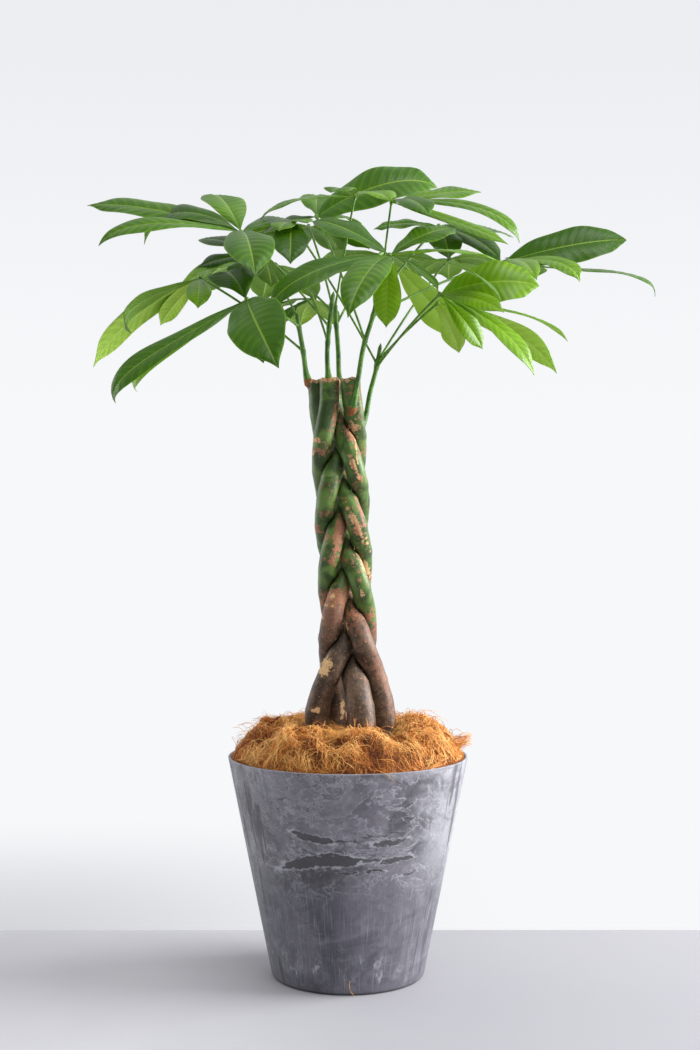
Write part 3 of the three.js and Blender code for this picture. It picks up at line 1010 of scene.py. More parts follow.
@dataclass(frozen=True)
class LeafSkin(Finish):
    """One face of a leaflet: its greens, its veins, painted light and shade on its pleats, and how much light
    shines through it.
    """

    name: str
    deep: Colour
    middle: Colour
    bright: Colour
    rib: Colour
    rib_share: float
    side_share: float
    gloss: float
    glow: Colour

    def wire(self, paint: Paint) -> None:
        """Wire the material.

        Args:
            paint: the material in the making.
        """
        chart = paint.out("ShaderNodeUVMap", uv_map=BLADE_MAP)
        veins = paint.use(paint.effects.veins, Map=chart, Count=float(VEIN_PAIRS))
        blotch, grain = paint.mottle(paint.place(), 24.0, 700.0)
        # The pleats are painted lighter on their ridges and darker in their valleys, as painted light and
        # shade
        value = paint.attribute("tone") + (blotch - 0.5) * 0.35 + (veins["Pleat"] - 0.5) * 0.15
        paint.tone = paint.ramp(value, (0.0, self.deep), (0.5, self.middle), (1.0, self.bright))
        paint.coat(self.rib, veins["Side"], self.side_share)
        paint.coat(self.rib, veins["Midrib"], self.rib_share)
        paint.coat(self.bright, veins["Margin"], 0.35)
        paint.finish(grain.rise(0.2, 0.8, self.gloss - 0.05, self.gloss + 0.07), specular=0.42)
        paint.mix_in(0.3, paint.out("ShaderNodeBsdfTranslucent", paint.blend(0.5, paint.tone, self.glow)))


TOP_SKIN = LeafSkin(
    name="leaf_top", deep=srgb(24, 54, 6), middle=srgb(64, 108, 8), bright=srgb(140, 186, 16),
    rib=srgb(164, 196, 70), rib_share=0.62, side_share=0.16, gloss=0.32, glow=srgb(156, 208, 0))
UNDER_SKIN = LeafSkin(
    name="leaf_underside", deep=srgb(70, 110, 24), middle=srgb(112, 158, 34), bright=srgb(184, 218, 80),
    rib=srgb(204, 226, 124), rib_share=0.7, side_share=0.3, gloss=0.5, glow=srgb(190, 226, 20))
LEAF_STALK = GreenStalk(name="leaf_stalk", deep=srgb(62, 104, 22), fresh=srgb(104, 150, 42))


# Pot


@dataclass
class Pot:
    """The tapered pot: a thin wall with rounded edges and five drain holes in its floor."""

    base_radius: float = 104.5
    wall: float = 4.0
    floor: float = 6.0
    edge: float = 4.0
    edge_steps: int = 4
    foot_ring: float = 14.0
    lip: float = 1.2
    sides: int = 128
    rows: int = 14
    drains: int = 5
    drain_radius: float = 7.0
    drain_circle: float = 62.0
    drain_sides: int = 32

    def profile(self) -> list[tuple[float, float]]:
        """Radius and height of each ring, from the middle of the underside round to the inner floor.

        Returns:
            The pairs, in millimetres.
        """
        top_radius, _, height = (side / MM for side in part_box("pot")[1])
        slope = (top_radius - self.base_radius) / height
        foot = self.base_radius - self.edge
        rings = [(foot - self.foot_ring, 0.0), (foot, 0.0)]
        for step in range(1, self.edge_steps + 1):
            turn = math.pi / 2 * step / self.edge_steps
            level = self.edge * (1 - math.cos(turn))
            rings.append((self.base_radius + slope * level - self.edge * (1 - math.sin(turn)), level))
        for row in range(1, self.rows + 1):
            level = self.edge + (height - self.lip - self.edge) * row / self.rows
            rings.append((self.base_radius + slope * level, level))
        inner = top_radius - self.wall
        bevel = 0.35 * self.lip
        rings += [(top_radius - bevel, height - bevel), (top_radius - self.lip, height),
                  (inner + self.lip, height), (inner + bevel, height - bevel)]
        for level in (height - self.lip, 0.5 * height, self.floor + self.edge):
            rings.append((self.base_radius + slope * level - self.wall, level))
        rings.append((foot - self.wall, self.floor))
        return rings

    def build(self, finish: Material) -> None:
        """Model and dress the pot.

        Args:
            finish: the material of its skin.
        """
        rings = [(radius * MM, level * MM) for radius, level in self.profile()]
        start_clean()
        bpy.ops.mesh.primitive_circle_add(
            vertices=self.sides, radius=rings[0][0], fill_type="NGON", location=(0.0, 0.0, rings[0][1]))
        piece = bpy.context.object
        piece.name = "pot_shell"
        bpy.ops.object.mode_set(mode="EDIT")
        bpy.ops.mesh.select_all(action="SELECT")
        for (radius, level), (wider, higher) in zip(rings, rings[1:]):
            bpy.ops.mesh.extrude_region_move(TRANSFORM_OT_translate={"value": (0.0, 0.0, higher - level)})
            share = wider / radius
            bpy.ops.transform.resize(value=(share, share, 1.0), center_override=(0.0, 0.0, higher))
        close_up()
        self.drill(piece)
        select_only(piece)
        bpy.ops.object.shade_smooth_by_angle(angle=math.radians(40))
        dress(piece, finish)
        settle(piece, "pot")

    def drill(self, piece: Piece) -> None:
        """Cut the drain holes through the floor.

        Args:
            piece: the pot's shell.
        """
        cutters = []
        for turn in turns(self.drains):
            start_clean()
            bpy.ops.mesh.primitive_cylinder_add(
                vertices=self.drain_sides, radius=self.drain_radius * MM, depth=4 * self.floor * MM,
                location=(*polar(self.drain_circle * MM, turn), 0.0))
            cutters.append(bpy.context.object)
            cut = piece.modifiers.new("drain", "BOOLEAN")
            cut.operation = "DIFFERENCE"
            cut.object = cutters[-1]
        apply_modifiers(piece)
        for cutter in cutters:
            bpy.data.objects.remove(cutter)


# Braided stems


@dataclass
class Braid:
    """The five stems, each on the same figure of eight a fifth of a turn behind the next one."""

    count: int = 5
    top: float = 817.0
    radius: float = 13.5
    swell: tuple[float, ...] = (4.0, 3.4, 5.8, 4.0, 2.6)
    swell_start: float = 540.0
    swell_end: float = 345.0
    reach: float = 25.0
    depth: float = 27.0
    growth: float = 1.2
    step: float = 40.7
    zero: float = 389.0
    # Where the braid starts and ends, and how softly. Below it the stems spread to their feet
    low: float = 425.0
    high: float = 775.0
    ease: float = 15.0
    spread_start: float = 462.0
    spread_end: float = 348.0
    lean: float = 0.05
    foot_x: float = 5.0
    foot_z: float = 375.0
    feet: tuple[tuple[float, float], ...] = ((22, 42), (43, -6), (12, -44), (-27, 32), (-49, -16))
    buried: tuple[float, ...] = (160.0, 200.0, 245.0, 290.0, 320.0)
    first_ring: float = 328.0
    ring_step: float = 3.4
    press: float = 0.9
    joint_start: float = 350.0
    joint_step: float = 52.0
    joint_reach: float = 4.5
    sides: int = 44
    # A sawn top: how far its rim stands over the last ring, and the rings inside it as shares of its width
    rim_rise: float = 1.2
    cap_shares: tuple[float, ...] = (0.97, 0.88, 0.66, 0.40, 0.12)
    torn_top: float = 5.0
    # The height where each stem turns from brown to green, and over how many millimetres
    change: tuple[float, ...] = (478.0, 494.0, 500.0, 508.0, 512.0)
    change_reach: float = 28.0
    # The side that faces the light, where the salmon scab streaks gather, partly the bark's own scabs and
    # partly a painted highlight
    sunny: Place = (0.75, -0.6, 0.28)
    # Pale bare scars on the front: x, height, half width, half height and how far they lean with the height
    scars: tuple[tuple[float, ...], ...] = (
        (-31, 424, 9, 14, 0.3), (-22, 520, 6, 4, 0), (-28, 508, 4, 3, 0),
        (-21, 508, 4.5, 3, 0), (-36, 492, 4, 3, 0), (-42, 366, 6, 6, 0),
        (-3, 480, 3.5, 12, 0), (-8, 362, 3.5, 14, 0), (-39, 732, 11, 3.6, 0),
        (-48, 715, 3, 4, 0), (7, 748, 8, 12, 0), (12, 712, 1.6, 24, -0.1),
        (11, 692, 4.6, 22, -0.45), (12, 617, 6.2, 32, -0.5), (-12, 655, 6, 2.6, 0),
        (24, 560, 5.6, 26, -0.5), (20, 522, 4, 9, -0.3))

    def full_radius(self, index: int, z: Array) -> Array:
        """A stem's radius where nothing presses on it."""
        return self.radius + self.swell[index] * (1 - smoothstep(self.swell_end, self.swell_start, z))

    def ramp(self, value: Array) -> Array:
        """Zero below the bend, and rising one for one above it."""
        return self.ease * np.logaddexp(0.0, value / self.ease)

    def axis(self, index: int, z: Array) -> Array:
        """The middle of a stem at the given heights.

        Args:
            index: the stem's number, from 0.
            z: the heights.

        Returns:
            One point in each row.
        """
        braided = self.low + self.ramp(z - self.low) - self.ramp(z - self.high)
        turn = math.pi / self.count * ((braided - self.zero) / self.step + 2 * index)
        growth = self.growth * (self.full_radius(index, np.maximum(z, self.spread_start)) - self.radius)
        spread = 1 - smoothstep(self.spread_end, self.spread_start, z)
        foot_x, foot_y = self.feet[index]
        x = (self.reach + growth) * np.sin(turn) * (1 - spread) + foot_x * spread
        y = (self.depth + growth) * np.sin(2 * turn) * (1 - spread) + foot_y * spread
        lean = self.foot_x - self.lean * (np.maximum(z, self.spread_end) - self.foot_z)
        return np.stack([x + lean, y, z], axis=-1)

    def others(self, index: int, heights: Array) -> list[tuple[int, Array]]:
        """The numbers and the middle lines of all the other stems."""
        return [(other, self.axis(other, heights)) for other in range(self.count) if other != index]

    def pressed(self, index: int, path: Array, ways: Array) -> Array:
        """How far a stem reaches in each direction before it presses flat against a neighbour.

        Args:
            index: the stem's number, from 0.
            path: the middle of each ring.
            ways: the directions of each ring's corners.

        Returns:
            The reach, rings by sides.
        """
        draw = np.random.default_rng(31 + index)
        full = self.full_radius(index, path[:, 2])
        for joint in np.arange(self.joint_start + draw.uniform(0, 40), self.top, self.joint_step):
            level = joint + draw.uniform(-14, 14)
            full = full + draw.uniform(0.3, 0.9) * hump(path[:, 2] - level, self.joint_reach)
        reach = np.repeat(full[:, None], ways.shape[1], axis=1)
        surface = path[:, None, :] + ways * reach[:, :, None]
        reach = reach + 0.35 * waves(surface, 26.0, 5 + index)
        for _, line in self.others(index, np.arange(160.0, self.top + 6.0, 2.5)):
            apart = line[None, :, :] - path[:, None, :]
            towards = np.einsum("rsk,rnk->rsn", ways, apart)
            far = np.einsum("rnk,rnk->rn", apart, apart)[:, None, :]
            near = (towards > 0) & (np.abs(apart[:, None, :, 2]) < 2 * full[:, None, None])
            limit = np.where(near, far / (2 * np.maximum(towards, 1e-6)), 1e6).min(axis=2) - self.press
            reach = np.minimum(reach, limit)
        return reach

    def cap(self, index: int, ring: Array) -> Array:
        """The wavy rim of a sawn top and the rings that dip inside it.

        Args:
            index: the stem's number, from 0.
            ring: the corners of the last ring below it.

        Returns:
            The rings, from the rim inwards.
        """
        rim = ring + np.array([0.0, 0.0, self.rim_rise])
        rim[:, 2] += 1.5 * waves(rim, 11.0, 60 + index) + 0.05 * (rim[:, 0] - rim[:, 0].mean())
        rings = [rim]
        middle = rim.mean(axis=0)
        for share in self.cap_shares:
            inner = middle + (rim - middle) * share
            step = 0.7 if len(rings) == 1 else 0.0
            inner[:, 2] += 0.9 * waves(inner, 5.0, 70 + index) - (1.6 * (1 - share) + step)
            rings.append(inner)
        return np.array(rings)

    def crease(self, index: int, whole: Array) -> Array:
        """How near each corner of a stem lies to another stem, from 0 to 1, which the bark turns into painted
        shade in the creases.

        Args:
            index: the stem's number, from 0.
            whole: the places of the stem's corners.

        Returns:
            The nearness, rings by sides.
        """
        gap = np.full(whole.shape[:2], 1e3)
        for other, line in self.others(index, np.arange(200.0, self.top + 1.0, 4.0)):
            away = np.linalg.norm(whole[:, :, None, :] - line, axis=-1)
            gap = np.minimum(gap, (away - self.full_radius(other, line[:, 2])).min(axis=2))
        return np.exp(-(np.maximum(gap, 0.0) / 3.2) ** 1.3)

    def marks(self, index: int, whole: Array, path: Array, ways: Array) -> dict[str, Array]:
        """What the bark's material reads on each corner of a stem.

        Args:
            index: the stem's number, from 0.
            whole: the places of all its corners.
            path: the middle of each ring below the cap.
            ways: the directions of those rings' corners.

        Returns:
            The values by name, rings by sides, or rings by sides by three.
        """
        # The rings of the cap take the values of the last ring below it
        ring = np.minimum(np.arange(len(whole)), len(path) - 1)
        x, y, z = np.moveaxis(whole, -1, 0)
        mean = self.full_radius(index, np.minimum(z.mean(axis=1), self.top))
        scar = np.clip((z - (self.top - self.torn_top)) / self.torn_top, -1.0, 1.0)
        front = y < path[ring, 1][:, None] + 4.0
        for middle, level, half_width, half_height, lean in self.scars:
            rise = z - level
            off = np.hypot((x - middle - lean * rise) / half_width, rise / half_height)
            scar = np.maximum(scar, np.where(front, np.clip(1 - off, -1, 1), -1.0))
        # Scab streaks gather on the side that faces the light, in part a painted highlight over the bark's
        # own scabs
        facing_light = np.clip(ways[ring] @ unit(np.array(self.sunny)), 0, 1)
        bands = np.clip(0.5 + 0.6 * waves(whole, 90.0, 90 + index), 0.0, 1.0)
        scabby = (facing_light**2 * (0.62 + 0.65 * bands), 0.15 + 0.4 * bands, np.zeros_like(bands))
        shares = np.concatenate([np.ones(len(path) + 1), self.cap_shares])
        return {
            "strand": strand_places(run_length(path)[ring], mean, self.sides, 200.0 * index),
            "age": (self.change[index] - z) / self.change_reach,
            "crease": self.crease(index, whole),
            "scar": scar,
            "scabby": np.stack(scabby, axis=-1),
            "rim": np.broadcast_to(shares[:, None], z.shape),
        }

    def build(self, bark: Material, cut: Material) -> None:
        """Model and dress the stems.

        Args:
            bark: the material of their sides.
            cut: the material of their sawn tops.
        """
        rows = np.arange(self.first_ring, self.top - 2.0, self.ring_step)
        heights = np.concatenate([self.buried, rows, [self.top - self.rim_rise]])
        template = RingTemplate(self.sides, len(heights) + len(self.cap_shares) + 1)
        for index in range(self.count):
            path = self.axis(index, heights)
            ways = round_directions(path, self.sides)
            points = path[:, None, :] + ways * self.pressed(index, path, ways)[:, :, None]
            whole = np.concatenate([points, self.cap(index, points[-1])])
            piece = template.formed(f"stem_{index + 1}_bark", whole, **self.marks(index, whole, path, ways))
            dress(piece, bark, cut)
            faces = piece.data.polygons
            lowest = np.array([template.ring_of[list(face.vertices)].min() for face in faces])
            faces.foreach_set("material_index", (lowest >= len(heights)).astype(np.int32))
            settle(piece, f"stem_{index + 1}")
        template.discard()


# Coconut fibre


@dataclass(frozen=True)
class Lump:
    """A lump of the mound, or a hollow in it where its rise is negative, where the bed is darker both for its
    own dark colour showing between few fibres and as painted shade.
    """

    x: float
    y: float
    rise: float
    width: float

    def near(self, x: Array, y: Array, spread: float = 1.0) -> Array:
        """How near places lie to it, from 0 to 1."""
        return hump(np.hypot(x - self.x, y - self.y), spread * self.width)


LUMPS = (
    Lump(92, 12, 9, 34), Lump(-92, 6, 8, 26), Lump(116, -55, 6, 24),
    Lump(24, -112, 6, 24), Lump(-74, -92, 5, 24),
)
HOLLOWS = (
    Lump(60, -36, -15, 13), Lump(-36, -34, -9, 12), Lump(66, 8, -6, 12),
    Lump(62, -78, -11, 20), Lump(-20, -118, -5, 16), Lump(-122, -60, -4, 16),
)


@dataclass
class CoirMulch:
    """The mound of coconut fibre: a dark matted bed, and thousands of curled fibres in swirling locks."""

    edge: float = 297.0
    rings: tuple[float, ...] = (0.0, 62.0, 92.0, 118.0, 140.0, 153.0, 158.5)
    rise: tuple[float, ...] = (34.0, 36.0, 40.0, 37.0, 24.0, 10.0, 0.0)
    bed_sides: int = 120
    bed_rings: int = 46
    bed_drop: float = 4.5
    bed_depth: float = 9.0
    outer: float = 158.0
    inner_wall: float = 160.6
    trunk_level: float = 338.0
    locks: int = 290
    lock_spacing: float = 11.0
    fibres: int = 14800
    fringe: int = 1500
    loose_hairs: int = 420
    rim_hairs: int = 70
    tuft_hairs: int = 60
    hair_radius: float = 0.3
    hair_limit: float = 161.0
    fibre_rings: int = 6
    fibre_radius: float = 0.29
    pieces: int = 3
    draw: Draw = field(default_factory=partial(np.random.default_rng, 7))

    def top(self, x: Array, y: Array) -> Array:
        """The height of the mound.

        Args:
            x: places to the right of the middle.
            y: places behind the middle.

        Returns:
            The height at each place.
        """
        radius = np.hypot(x, y)
        height = self.edge + np.interp(radius, self.rings, self.rise)
        for lump in (*LUMPS, *HOLLOWS):
            height = height + lump.rise * lump.near(x, y)
        places = np.stack([x, y, np.zeros_like(x)], axis=-1)
        calm = np.clip((self.outer + 4.0 - radius) / 26.0, 0.2, 1.0)
        return height + calm * (3.4 * waves(places, 42.0, 11) + 2.0 * waves(places, 19.0, 12))

    def build(self, matted: Material, fibre: Material) -> None:
        """Model and dress the mound.

        Args:
            matted: the material of the bed.
            fibre: the material of the single fibres.
        """
        self.build_bed(matted)
        grown = self.grow()
        for part, rows in enumerate(np.array_split(np.arange(len(grown[0])), self.pieces)):
            piece = self.spin(f"coir_fibres_{part + 1}", *(each[rows] for each in grown))
            dress(piece, fibre)
            settle(piece, "coir_mulch")

    def build_bed(self, matted: Material) -> None:
        """The matted bed under the fibres.

        Args:
            matted: its material.
        """
        template = RingTemplate(self.bed_sides, self.bed_rings)
        under = np.array([20.0, 80.0, 130.0, self.outer - 6.0])
        over = np.linspace(self.outer, 3.0, self.bed_rings - len(under))
        x, y = polar(np.concatenate([under, over])[:, None], turns(self.bed_sides))
        z = self.top(x, y) - self.bed_drop
        z[:len(under)] -= self.bed_depth
        z[len(under)] -= 0.5 * self.bed_depth
        # Darker bed in the hollows, partly its own colour where fibres are few and partly painted shade
        cover = 1.0 - 0.9 * sum(hollow.near(x, y, 1.2) for hollow in HOLLOWS)
        piece = template.formed("coir_bed", np.stack([x, y, z], axis=-1), cover=cover)
        dress(piece, matted)
        settle(piece, "coir_mulch")
        template.discard()

    def lock_centres(self) -> Array:
        """Places for the locks of fibre, none too near another.

        Returns:
            One x and y in each row.
        """
        draw = self.draw
        centres: list[Array] = []
        while len(centres) < self.locks:
            radius = self.outer * math.sqrt(draw.uniform(0.02, 1.0))
            place = np.array(polar(radius, draw.uniform(0, FULL_TURN)))
            room = self.lock_spacing * draw.uniform(0.4, 1.0)
            if all(np.hypot(*(place - other)) > room for other in centres):
                centres.append(place)
        return np.array(centres)

    def grow(self) -> list[Array]:
        """Lay every fibre over the mound.

        Returns:
            The paths, fibres by points by x, y and z, then each fibre's radius and its tone.
        """
        draw, locks, count = self.draw, self.locks, self.fibres
        centres = self.lock_centres()
        around = np.arctan2(centres[:, 1], centres[:, 0]) + math.pi / 2
        lock_way = around + draw.choice([0.0, math.pi], locks) + draw.normal(0, 0.75, locks)
        lock_curl = draw.choice([-1.0, 1.0], locks) * draw.uniform(0.015, 0.08, locks)
        lock_lift = draw.uniform(0.0, 10.0, locks)
        # Locks that lie higher are lighter, painted shade on the low ones, with a random tone on top
        lock_tone_and_shade = np.clip(0.2 + 0.06 * lock_lift + draw.normal(0.0, 0.22, locks), 0.0, 1.0)
        own = draw.integers(0, locks, count)
        beside = draw.normal(0, 6.0, count)
        before = draw.normal(0, 7.5, count)
        free = draw.uniform(0, 1, count) < 0.3
        length = draw.uniform(14.0, 38.0, count)
        way = lock_way[own] + draw.normal(0, 0.34, count)
        way[free] += draw.normal(0, 1.3, free.sum())
        curl = lock_curl[own] + draw.normal(0, 0.012, count)
        curl[free] = draw.normal(0, 0.05, free.sum())
        ahead_x, ahead_y = polar(before - 0.5 * length, way)
        right_x, right_y = polar(beside, way)
        x, y = centres[own, 0] + ahead_x - right_y, centres[own, 1] + ahead_y + right_x
        crown = hump(beside, 7.5)
        lift = lock_lift[own] * crown * draw.uniform(0.35, 1.0, count) + draw.uniform(-2.5, 1.5, count)
        arch = np.abs(draw.normal(0.0, 2.2, count))
        stray = draw.uniform(0, 1, count) < 0.06
        arch[stray] += draw.uniform(3.0, 10.0, stray.sum())
        paths = self.run(x, y, way - 0.5 * curl * length, curl, length, lift, arch)
        radii = self.fibre_radius * draw.uniform(0.6, 1.35, count)
        # Painted shade: fibres at the sides of a lock and low in the pile are darker, and broad random
        # patches darken others
        shade = 0.45 * (crown - 0.6) + 0.055 * (lift - 0.5)
        shade = shade + 0.3 * waves(paths[:, self.fibre_rings // 2], 26.0, 5)
        tones = np.clip(lock_tone_and_shade[own] + shade + draw.normal(-0.02, 0.14, count), 0, 1)
        keep = self.clear_of_trunk(paths)
        parts = [(paths[keep], radii[keep], tones[keep]), self.edge_fringe(), self.strays()]
        return [np.concatenate(kind) for kind in zip(*parts)]

    def run(self, x: Array, y: Array, way: Array, curl: Array, length: Array, lift: Array,
            arch: Array) -> Array:
        """Let fibres run over the mound from their starts.

        Args:
            x: where they start, to the right.
            y: where they start, to the back.
            way: the headings that they start on.
            curl: how fast they turn, in radians for each millimetre.
            length: how long they are.
            lift: how high they lie over the mound.
            arch: how far their middles rise.

        Returns:
            The paths, fibres by points by x, y and z.
        """
        step = length / (self.fibre_rings - 1)
        points = []
        for share in np.linspace(0, 1, self.fibre_rings):
            inside = np.minimum(1.0, (self.outer + 0.5) / np.maximum(np.hypot(x, y), 1e-6))
            x, y = x * inside, y * inside
            dive = -3.0 * abs(2 * share - 1) ** 3
            z = self.top(x, y) + lift + dive + arch * math.sin(math.pi * share)
            points.append(np.stack([x, y, z], axis=-1))
            x, y = x + step * np.cos(way), y + step * np.sin(way)
            way = way + curl * step + self.draw.normal(0, 0.24, len(x))
        return np.stack(points, axis=1)

    def edge_fringe(self) -> tuple[Array, Array, Array]:
        """Short fibres that curl over the edge of the mound and lean on the pot's wall.

        Returns:
            Their paths, radii and tones.
        """
        draw, count = self.draw, self.fringe
        turn = draw.uniform(0, FULL_TURN, count)
        start = draw.uniform(138.0, 155.0, count)
        sweep = draw.normal(0.0, 0.10, count)
        low = draw.uniform(295.0, 299.0, count)
        bulge = draw.uniform(0.0, 5.0, count)
        share = np.linspace(0, 1, self.fibre_rings)[:, None]
        x, y = polar(start + (self.inner_wall - start) * np.minimum(1.0, 1.15 * share), turn + sweep * share)
        z = (1 - share) * (self.top(x, y) + 1.0) + share * low + bulge * np.sin(math.pi * share)
        radii = self.fibre_radius * draw.uniform(0.7, 1.2, count)
        tones = np.clip(draw.normal(0.42, 0.2, count), 0, 1)
        return np.stack([x, y, z], axis=-1).swapaxes(0, 1), radii, tones

    def clear_of_trunk(self, paths: Array) -> Array:
        """Which fibres pass beside the stems and over no hollow.

        Args:
            paths: the fibres' paths.

        Returns:
            True for each fibre that stays.
        """
        def nearest(x: float, y: float) -> Array:
            """How near each fibre comes to an upright line."""
            return np.hypot(paths[:, :, 0] - x, paths[:, :, 1] - y).min(axis=1)

        braid = Braid()
        level = np.array([self.trunk_level])
        keep = np.ones(len(paths), dtype=bool)
        for index in range(braid.count):
            foot = braid.axis(index, level)[0]
            keep &= nearest(foot[0], foot[1]) > braid.full_radius(index, level)[0] - 2.0
        for hollow in HOLLOWS:
            keep &= (nearest(hollow.x, hollow.y) > 0.75 * hollow.width) | (np.arange(len(paths)) % 11 == 0)
        return keep

    def strays(self) -> list[Array]:
        """Loose hairs that stand up from the mound, a husk chip, and the hairs on the pot.

        Returns:
            Their paths, radii and tones.
        """
        draw = self.draw
        laid: list[tuple[Array, float, float]] = []

        def lay(points: list[Place], radius: float, tone: float) -> None:
            """Add one fibre through the given points."""
            laid.append((smooth_path(points, self.fibre_rings - 1), radius, tone))

        for _ in range(self.loose_hairs):
            turn = draw.uniform(0, FULL_TURN)
            x, y = polar(draw.uniform(52.0, 154.0), turn)
            z = self.top(x, y)
            way = draw.uniform(0, FULL_TURN)
            step_x, step_y = polar(draw.uniform(8.0, 22.0), way)
            high = draw.uniform(5.0, 15.0)
            limit = min(1.0, self.hair_limit / math.hypot(x + 2 * step_x, y + 2 * step_y))
            end = ((x + 2 * step_x) * limit, (y + 2 * step_y) * limit, z + high * draw.uniform(0.1, 1.0))
            bow = (x + step_x * 0.8, y + step_y * 0.8, z + high)
            lay([(x, y, z - 2.0), bow, end], self.hair_radius, draw.uniform(0.4, 1.0))
        for _ in range(self.rim_hairs):
            x, y = polar(160, draw.normal(-0.10, 0.07))
            x, y = x + draw.normal(-6, 4), y + draw.normal(0, 4)
            z = draw.uniform(300, 322)
            tip = (draw.uniform(160, 171), y + draw.normal(0, 5), draw.uniform(316, 335))
            lay([(x - 18, y, z), (x - 3, y, z + 7), tip], self.hair_radius, draw.uniform(0.45, 1))
        for _ in range(self.tuft_hairs):
            turn = draw.uniform(2.2, 2.9)
            base = (-96 + draw.normal(0, 5), -8 + draw.normal(0, 5), 336)
            tip = (base[0] + 26 * math.cos(turn), base[1] + draw.normal(0, 6), 348 + draw.uniform(-6, 8))
            bow = (0.5 * (base[0] + tip[0]), base[1], 350)
            lay([base, bow, tip], self.hair_radius, draw.uniform(0.25, 0.7))
        # The husk chip, the hairs on the trunk, and one hair each on the rim and at the foot of the pot
        for y in (-15.6, -14, -12.4):
            lay([(-112, y, 340), (-102, y, 349), (-93, y, 355)], 1.5, 0.02)
        for x, lean in ((8, 3), (10, -2), (-36, 6), (-26, 12), (-20, 14), (28, -3)):
            tip = (x + lean, -69, 362 - abs(lean))
            lay([(x, -66, 326), (x + 0.4 * lean, -68, 344), tip], 0.4, 0.9)
        lay([(43, -156, 303), (52, -163, 298), (60, -161.5, 288)], 0.35, 0.8)
        lay([(2, -112, 22), (3, -107.5, 8), (9, -109, 1)], 0.35, 0.8)
        return [np.array(kind) for kind in zip(*laid)]

    def spin(self, name: str, paths: Array, radii: Array, tones: Array) -> Piece:
        """Turn paths into thin closed fibres of three sides.

        Args:
            name: the name of the new piece.
            paths: fibres by points by x, y and z.
            radii: each fibre's radius.
            tones: each fibre's tone.

        Returns:
            The new object.
        """
        count, rings, _ = paths.shape
        tangents = unit(np.gradient(paths, axis=1))
        firsts = unit(np.cross(tangents, np.array([0.13, 0.21, 1.0])))
        taper = np.ones(rings)
        taper[[0, -1]] = 0.3
        reach = radii[:, None, None, None] * taper[:, None, None]
        corners = paths[:, :, None, :] + spokes(firsts, np.cross(tangents, firsts), 3) * reach
        per_fibre = 3 * rings
        quads = [(ring + side, ring + (side + 1) % 3, ring + (side + 1) % 3 + 3, ring + side + 3)
                 for ring in range(0, per_fibre - 3, 3) for side in range(3)]
        ends = [(0, 2, 1), (per_fibre - 3, per_fibre - 2, per_fibre - 1)]
        starts = np.arange(count)[:, None, None] * per_fibre
        faces = [*(starts + quads).reshape(-1, 4).tolist(), *(starts + ends).reshape(-1, 3).tolist()]
        mesh = bpy.data.meshes.new(name)
        mesh.from_pydata((corners.reshape(-1, 3) * MM).tolist(), [], faces)
        mesh.validate()
        write_attribute(mesh, "tone", np.repeat(tones, per_fibre))
        piece = link(name, mesh)
        select_only(piece)
        bpy.ops.object.shade_smooth()
        return piece


# Shoots


@dataclass(frozen=True)
class ShootRoute:
    """Where a shoot grows, as the knots of its middle line."""

    knots: tuple[Place, ...]

    def path(self, steps: int) -> Array:
        """The shoot's middle line."""
        return smooth_path(self.knots, steps)

    def at(self, height: float) -> Array:
        """The first point of the shoot at or over a height, or else its end.

        Args:
            height: the height.

        Returns:
            The point.
        """
        points = self.path(200)
        over = np.nonzero(points[:, 2] >= height)[0]
        return points[over[0]] if len(over) else points[-1]


SHOOTS = (
    ShootRoute(((-44, 0, 800), (-55, -1, 816), (-62, -4, 858), (-68, -8, 893), (-70, -10, 908))),
    ShootRoute(((-24, 16, 800), (-27, 22, 820), (-29, 24, 858), (-24, 22, 914), (-20, 22, 943))),
    ShootRoute(((-1, 26, 798), (-11, 38, 818), (-14, 42, 865), (-17, 44, 905), (-18, 46, 930))),
    ShootRoute(((4, -24, 764), (8, -37, 782), (14, -38, 816), (21, -37, 858), (34, -34, 901),
                (50, -28, 966))),
    ShootRoute(((8, 26, 745), (22, 32, 762), (31, 34, 803), (40, 34, 838), (46, 32, 872))),
)


def stalk(template: RingTemplate, name: str, path: Array, radii: Array, age: Array, offset: float) -> Piece:
    """A green stalk along a path.

    Args:
        template: the tube that it is copied from.
        name: the name of the new piece.
        path: the middle of each ring.
        radii: the radius of each ring.
        age: how corky each ring is, from 0 to 1.
        offset: where its pattern starts, so that no two stalks look alike.

    Returns:
        The new object.
    """
    ways = round_directions(path, template.sides)
    points = path[:, None, :] + ways * radii[:, None, None]
    points = points + ways * (0.12 * radii[:, None] * age[:, None] * waves(points, 6.0, 17))[:, :, None]
    strand = strand_places(run_length(path), np.full(len(path), 2.0), template.sides, offset)
    shape = points.shape[:2]
    return template.formed(name, points, strand=strand, age=np.broadcast_to(age[:, None], shape),
                           tone=np.full(shape, 0.5))


